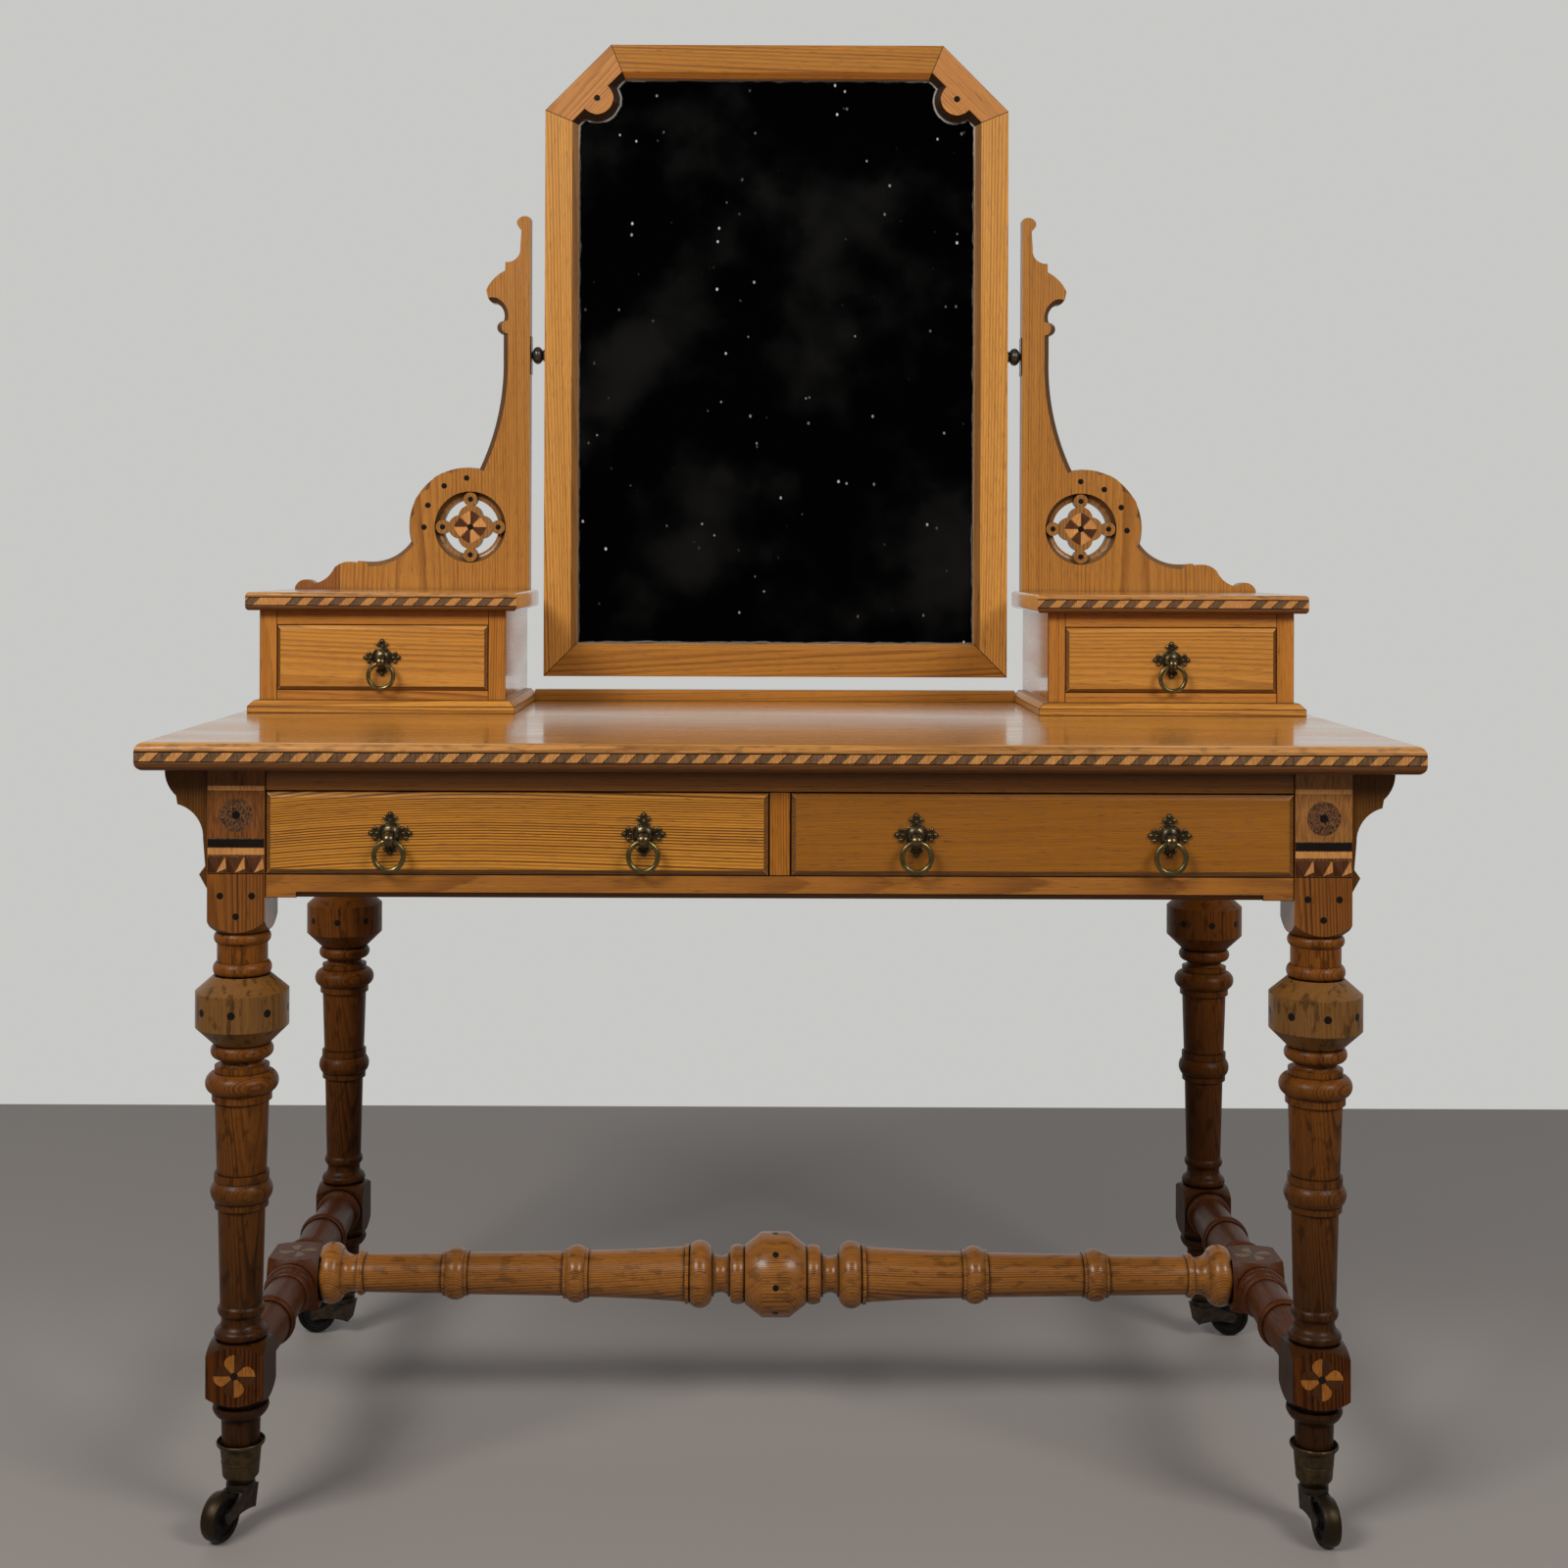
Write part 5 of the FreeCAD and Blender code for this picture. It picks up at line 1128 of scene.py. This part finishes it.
joint_x = -532.3 * mm
joint_low = joint_x - 0.5 * mm


def in_wheel(face):
    middle = face.calc_center_median()
    return math.hypot(abs(middle.x) - wheel_x, middle.z - wheel_z) < wheel_reach


for seed, side in ((141, "left"), (142, "right")):
    bm = taken("harp_" + side)
    ease(bm, 0.5 * mm, 40.0)
    if side == "left":
        sawn(bm, (joint_x, joint_low))
    lay_grain(bm, along_z, towards_front, (70.0 * mm, 90.0 * mm), seed)
    # Painted shade on the chamfers and inside the wheel; painted light on the chamfers facing up.
    refinish(bm, 1, lambda face: -0.93 < face.normal.y < -0.15 or abs(face.normal.y) < 0.5 and in_wheel(face))
    refinish(bm, 2, lambda face: face.material_index == 1 and face.normal.y < -0.2 and face.normal.z > 0.3)
    refinish(bm, 5, lambda face: face.material_index == 0
             and face.calc_center_median().y > harp_front + 0.5 * mm)
    if side == "left":
        refinish(bm, 3, lambda face: face.calc_center_median().x < joint_low and face.material_index == 0)
        refinish(bm, 4, lambda face: joint_low < face.calc_center_median().x < joint_x)
    piece("harp_board_" + side, bm, harp_woods, "table", ["harp_" + side], "pine", smooth=40.0)

harp_petal = ((3.4, 0.0), (20.0, 0.0), (18.6, 14.0), (17.6, 28.0), (17.2, 42.0), (3.4, 43.0))
harp_dots = {
    -1: ((56.5, -0.4), (58.1, 27.0), (59.5, 57.5), (60.0, 85.7)),
    1: ((56.2, -1.7), (55.8, 28.4), (56.0, 59.7), (58.0, 90.5)),
}
rosette_dots = ((34.0, 0.0), (34.0, 90.0), (34.0, 180.0), (34.0, 270.0))
ring_petal = inlay_wood("ring_petal", (0.56, 0.265, 0.080), (0.40, 0.165, 0.042), coat=0.1, shine=0.3)
bm = bmesh.new()
for side in (-1, 1):
    pinwheel(bm, side * wheel_x, wheel_z, rosette_front, harp_petal, (field, dark))
    for spots, front, size in ((harp_dots[side], harp_front, 3.5 * mm),
                               (rosette_dots, rosette_front, 3.3 * mm)):
        for reach, angle in spots:
            a = math.radians(angle)
            place = (side * (wheel_x + reach * mm * math.cos(a)), front, wheel_z + reach * mm * math.sin(a))
            plug(bm, place, size, towards_front, black)
piece("harp_inlays", bm, inlay_woods + [ring_petal], "table", (), "banding", weighted=False)

# Pivot plates: two small brass plates let onto the harps' inner edges, one on each side, in which the
# mirror's pins turn. They are of the same dark brass as the pulls.
bm = taken("pivot_plates")
ease(bm, 0.25 * mm, 50.0)
piece("pivot_plate_pair", bm, pull_brass, "table", ["pivot_plates"], "brass_pull")

# Swing mirror: six mitred pieces of straight-grained pine with a bevelled inner edge, the two corner pieces
# sawn with a round lobe. The grain follows each piece. Old glass behind, closed with a thin board.
stile_pine = varnished_pine("stile_pine", (0.55, 0.255, 0.048), (0.26, 0.090, 0.011), ring=2.0 * mm,
                            strength=0.9, warp=5.0 * mm)
corner_pine = varnished_pine("corner_pine", (0.47, 0.196, 0.046), (0.25, 0.082, 0.015), ring=1.2 * mm,
                             warp=2.0 * mm)
mirror_rail_pine = varnished_pine("mirror_rail_pine", (0.37, 0.148, 0.0175), (0.168, 0.052, 0.0048),
                                  ring=2.0 * mm)
# Darker copies for the bevels of the stiles and the top rail round the glass: painted shade.
shaded_inner_bevel = varnished_pine("shaded_inner_bevel", (0.210, 0.088, 0.0170), (0.100, 0.034, 0.0055), shine=0.3)
shaded_upper_bevel = varnished_pine("shaded_upper_bevel", (0.34, 0.115, 0.0140), (0.180, 0.055, 0.0060), shine=0.3)
mirror_front = 279.5 * mm
lobe_x, lobe_z, lobe_radius = 219.9 * mm, 1500.2 * mm, 27.0 * mm
corner_slant = 1723.4 * mm


def mitred(edge):
    """True for the arrises along a mitre, where two pieces meet aslant."""
    run = (edge.verts[1].co - edge.verts[0].co).normalized()
    return abs(run.x) > 0.25 and abs(run.z) > 0.25 and all(f.normal.length > 0.5 for f in edge.link_faces)


def framed(name, node, finish, along, heart, seed, bevel):
    """Boards of the frame, dark along their mitred joints, with painted shade on the bevel round the glass
    where its finish is darker.
    """
    bm = taken(node)
    ease(bm, 0.45 * mm, keep=mitred, finish=1)
    ease(bm, 0.4 * mm, keep=lambda edge: not any(f.material_index == 1 for f in edge.link_faces))
    # Painted shade on the bevel round the glass, where the finish given is darker.
    refinish(bm, 2, lambda face: face.material_index == 0 and -0.93 < face.normal.y < -0.3)
    # The corner pieces' faces round the lobe go nearly black: painted shade and dark reflection.
    if bevel == seam_dirt_and_shade:
        refinish(bm, 1, lambda face: face.normal.y > -0.93
                 and abs(face.calc_center_median().x) + face.calc_center_median().z < corner_slant)
    for i, verts in enumerate(islands(bm)):
        middle = sum((v.co for v in verts), Vector()) / len(verts)
        run = along or Vector((1, 0, -1 if middle.x > 0 else 1)).normalized()
        lay_grain(bm, run, towards_front, heart, seed + i, verts)
    piece(name, bm, [finish, seam_dirt_and_shade, bevel], "mirror", [node], "pine", smooth=30.0)


framed("mirror_stile_boards", "mirror_stiles", stile_pine, along_z, (60.0 * mm, 70.0 * mm), 151, shaded_inner_bevel)
framed("mirror_corner_boards", "mirror_corners", corner_pine, None, (30.0 * mm, 90.0 * mm), 153, seam_dirt_and_shade)
framed("mirror_upper_rail", "mirror_rail_top", mirror_rail_pine, along_x, (25.0 * mm, 85.0 * mm), 155,
       shaded_upper_bevel)
framed("mirror_lower_rail", "mirror_rail_bottom", mirror_rail_pine, along_x, (25.0 * mm, 95.0 * mm), 156,
       mirror_rail_pine)
planed("mirror_back_panel", "mirror_backboard", plain_pine, along_z, along_y, flat_sawn, 157,
       slot="pine_back", body="mirror")
bm = bmesh.new()
for side in (-1, 1):
    plug(bm, (side * lobe_x, mirror_front, lobe_z), 3.9 * mm, towards_front)
piece("mirror_corner_dots", bm, black_inlay, "mirror", (), "ebonised", weighted=False)

# The glass shows between these lines. The last one runs aslant past the corners, and a share turns a step
# along the axes into one square to it.
sight_half = 242.9 * mm
sight_low, sight_high = 833.7 * mm, 1525.2 * mm
sight_slant, slant_share = 1711.5 * mm, 0.7071


def silvered_glass():
    """Old mirror glass: dim silvering under a cloudy bloom, with foxed specks and foxing along its rim."""
    f = Finish("silvered_glass")
    spot = f.spot()

    def patches(size, detail):
        return f.noise(f.scaled(spot, size), detail)

    bloom = f.ramp(patches(7.0, 5.0), 0.46, 0.72)
    cloud = f.ramp(patches(38.0, 5.0), 0.50, 0.78)
    pits = f.node("ShaderNodeTexVoronoi", {"feature": "F1"},
                  {"Vector": f.scaled(spot, 62.0, 62.0, 48.0), "Scale": 1.0, "Randomness": 1.0})
    specks = f.ramp(pits, 0.055, 0.125, 1.0, 0.0) * f.ramp(patches(21.0, 2.0), 0.50, 0.66)
    x, z = f.axis(spot, 0), f.axis(spot, 2)
    across = x.math("ABSOLUTE", x)
    lobe = ((across - lobe_x) * (across - lobe_x) + (z - lobe_z) * (z - lobe_z)) ** 0.5 - lobe_radius
    inside = lobe
    for gap in (sight_half - across, z - sight_low, sight_high - z, (sight_slant - across - z) * slant_share):
        inside = inside.math("MINIMUM", inside, gap)
    wander = inside + 5.0 * mm * (patches(60.0, 3.0) - 0.5)
    rim = f.ramp(wander, -0.6 * mm, 0.6 * mm) * f.ramp(wander, 1.2 * mm, 3.0 * mm, 1.0, 0.0)
    foxing = rim * f.ramp(lobe, 4.0 * mm, 70.0 * mm, 0.9, 0.28)
    spoilt = specks.math("MAXIMUM", specks, foxing)
    haze = bloom * cloud * 0.05
    silver = f.mix(solid((0.80, 0.80, 0.78)), solid((0.50, 0.48, 0.44)), haze)
    return f.surface(
        Base_Color=f.mix(silver, solid((0.62, 0.60, 0.55)), spoilt),
        Metallic=1.0 - 0.60 * spoilt - 0.009 * bloom, Roughness=0.012 + 0.05 * haze + 0.45 * spoilt)


piece("mirror_pane", taken("mirror_glass"), silvered_glass(), "mirror", ["mirror_glass"], "mirror_glass",
      weighted=False)

# Pivots: two turned and blackened wooden balls between the mirror and the harps, each on a collar with a pin.
# The balls are made a little fuller than the plain form below them, and the pins are left as they are.
bm = taken("mirror_pivots")
pivot_low, pivot_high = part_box("mirror_pivots")
pivot_axis = (pivot_low + pivot_high) / 2
pin_radius = 4.5 * mm
fuller = 0.8
for v in bm.verts:
    out = Vector((0, v.co.y - pivot_axis.y, v.co.z - pivot_axis.z))
    if out.length > pin_radius:
        v.co += out * (fuller * (out.length - pin_radius) / out.length)
ebony = inlay_wood("ebonised_wood", (0.030, 0.022, 0.016), (0.014, 0.010, 0.008))
piece("turned_pivots", bm, ebony, "mirror", ["mirror_pivots"], "ebonised", smooth=40.0)

# Where it stands: a plain pale floor under soft studio light, seen from the front at the height of a seated
# person's eyes. A dark card stands behind the viewer for the mirror to reflect.
def stage_paint(name, colour, rough=0.6, shine=0.5):
    f = Finish(name)
    darker = tuple(0.92 * c for c in colour)
    return f.surface(Base_Color=f.mix(solid(darker), solid(colour), f.noise(f.spot(), 3.0)), Roughness=rough,
                     Specular_IOR_Level=shine)


def staged(name, data, place, turn):
    """A lamp or a panel that belongs to the studio and not to the table."""
    thing = put(name, data)
    thing.location = place
    thing.rotation_euler = turn
    return thing


def stage_panel(name, size, place, turn, material):
    bm = bmesh.new()
    bmesh.ops.create_grid(bm, x_segments=1, y_segments=1, size=0.5)
    bmesh.ops.scale(bm, vec=(*size, 1.0), verts=bm.verts)
    mesh = as_mesh(bm, name)
    mesh.materials.append(material)
    return staged(name, mesh, place, turn)


stage_panel("studio_floor", (14.0, 9.3), (0, -3.35, 0), (0, 0, 0),
            stage_paint("studio_floor", (0.276, 0.252, 0.238)))
card = stage_panel("dark_card", (7.0, 4.4), (0, -4.0, 1.6), (math.radians(90), 0, 0),
                   stage_paint("dark_card", (0.0015, 0.0015, 0.0016), 1.0, 0.0))
card.visible_camera = False
card.visible_diffuse = False
card.visible_shadow = False


def soft_light(name, place, aim, size, power, colour):
    lamp = bpy.data.lights.new(name, "AREA")
    lamp.shape = "RECTANGLE"
    lamp.size, lamp.size_y = size
    lamp.energy = power
    lamp.color = colour
    staged(name, lamp, place, (Vector(aim) - Vector(place)).to_track_quat("-Z", "Y").to_euler())


soft_light("key", (-2.1, -2.5, 3.0), (0, 0, 1.0), (1.5, 1.2), 112.0, (1.0, 0.97, 0.92))
soft_light("fill", (2.3, -2.4, 2.8), (0, 0, 1.0), (1.3, 1.1), 74.0, (1.0, 0.97, 0.93))
room = Finish("studio", bpy.data.worlds.new("studio"))
bpy.context.scene.world = room.holder


def ray(kind):
    return room.node("ShaderNodeLightPath", None, None, kind)


def glow(colour, strength=1.0):
    return room.node("ShaderNodeBackground", None, {"Color": solid(colour), "Strength": strength})


def blend(share, first, second):
    return room.node("ShaderNodeMixShader", None, {0: share, 1: first, 2: second})


seen = ray("Is Camera Ray").math("MAXIMUM", ray("Is Camera Ray"), ray("Is Transmission Ray"))
behind = room.ramp(room.axis(room.node("ShaderNodeTexCoord", None, None, "Generated"), 1), -0.1, 0.6,
                   kind="LINEAR")
wall = glow((0.58, 0.58, 0.565))
mirrored = blend(behind, glow((0.05, 0.05, 0.055)), wall)
unseen = blend(ray("Is Glossy Ray"), glow((0.98, 0.98, 1.0), 0.27), mirrored)
room.node("ShaderNodeOutputWorld", None, {"Surface": blend(seen, unseen, wall)})

view = bpy.data.cameras.new("view")
view.lens = 48.079
view.sensor_width = 36.0
view.shift_x = 0.01782
view.shift_y = -0.14568
viewer = put("view", view)
viewer.location = (-0.02373, -2.2784, 0.94177)
viewer.rotation_euler = (math.radians(90), math.radians(-0.199), 0)
bpy.context.scene.camera = viewer
bpy.context.scene.view_settings.view_transform = "Standard"
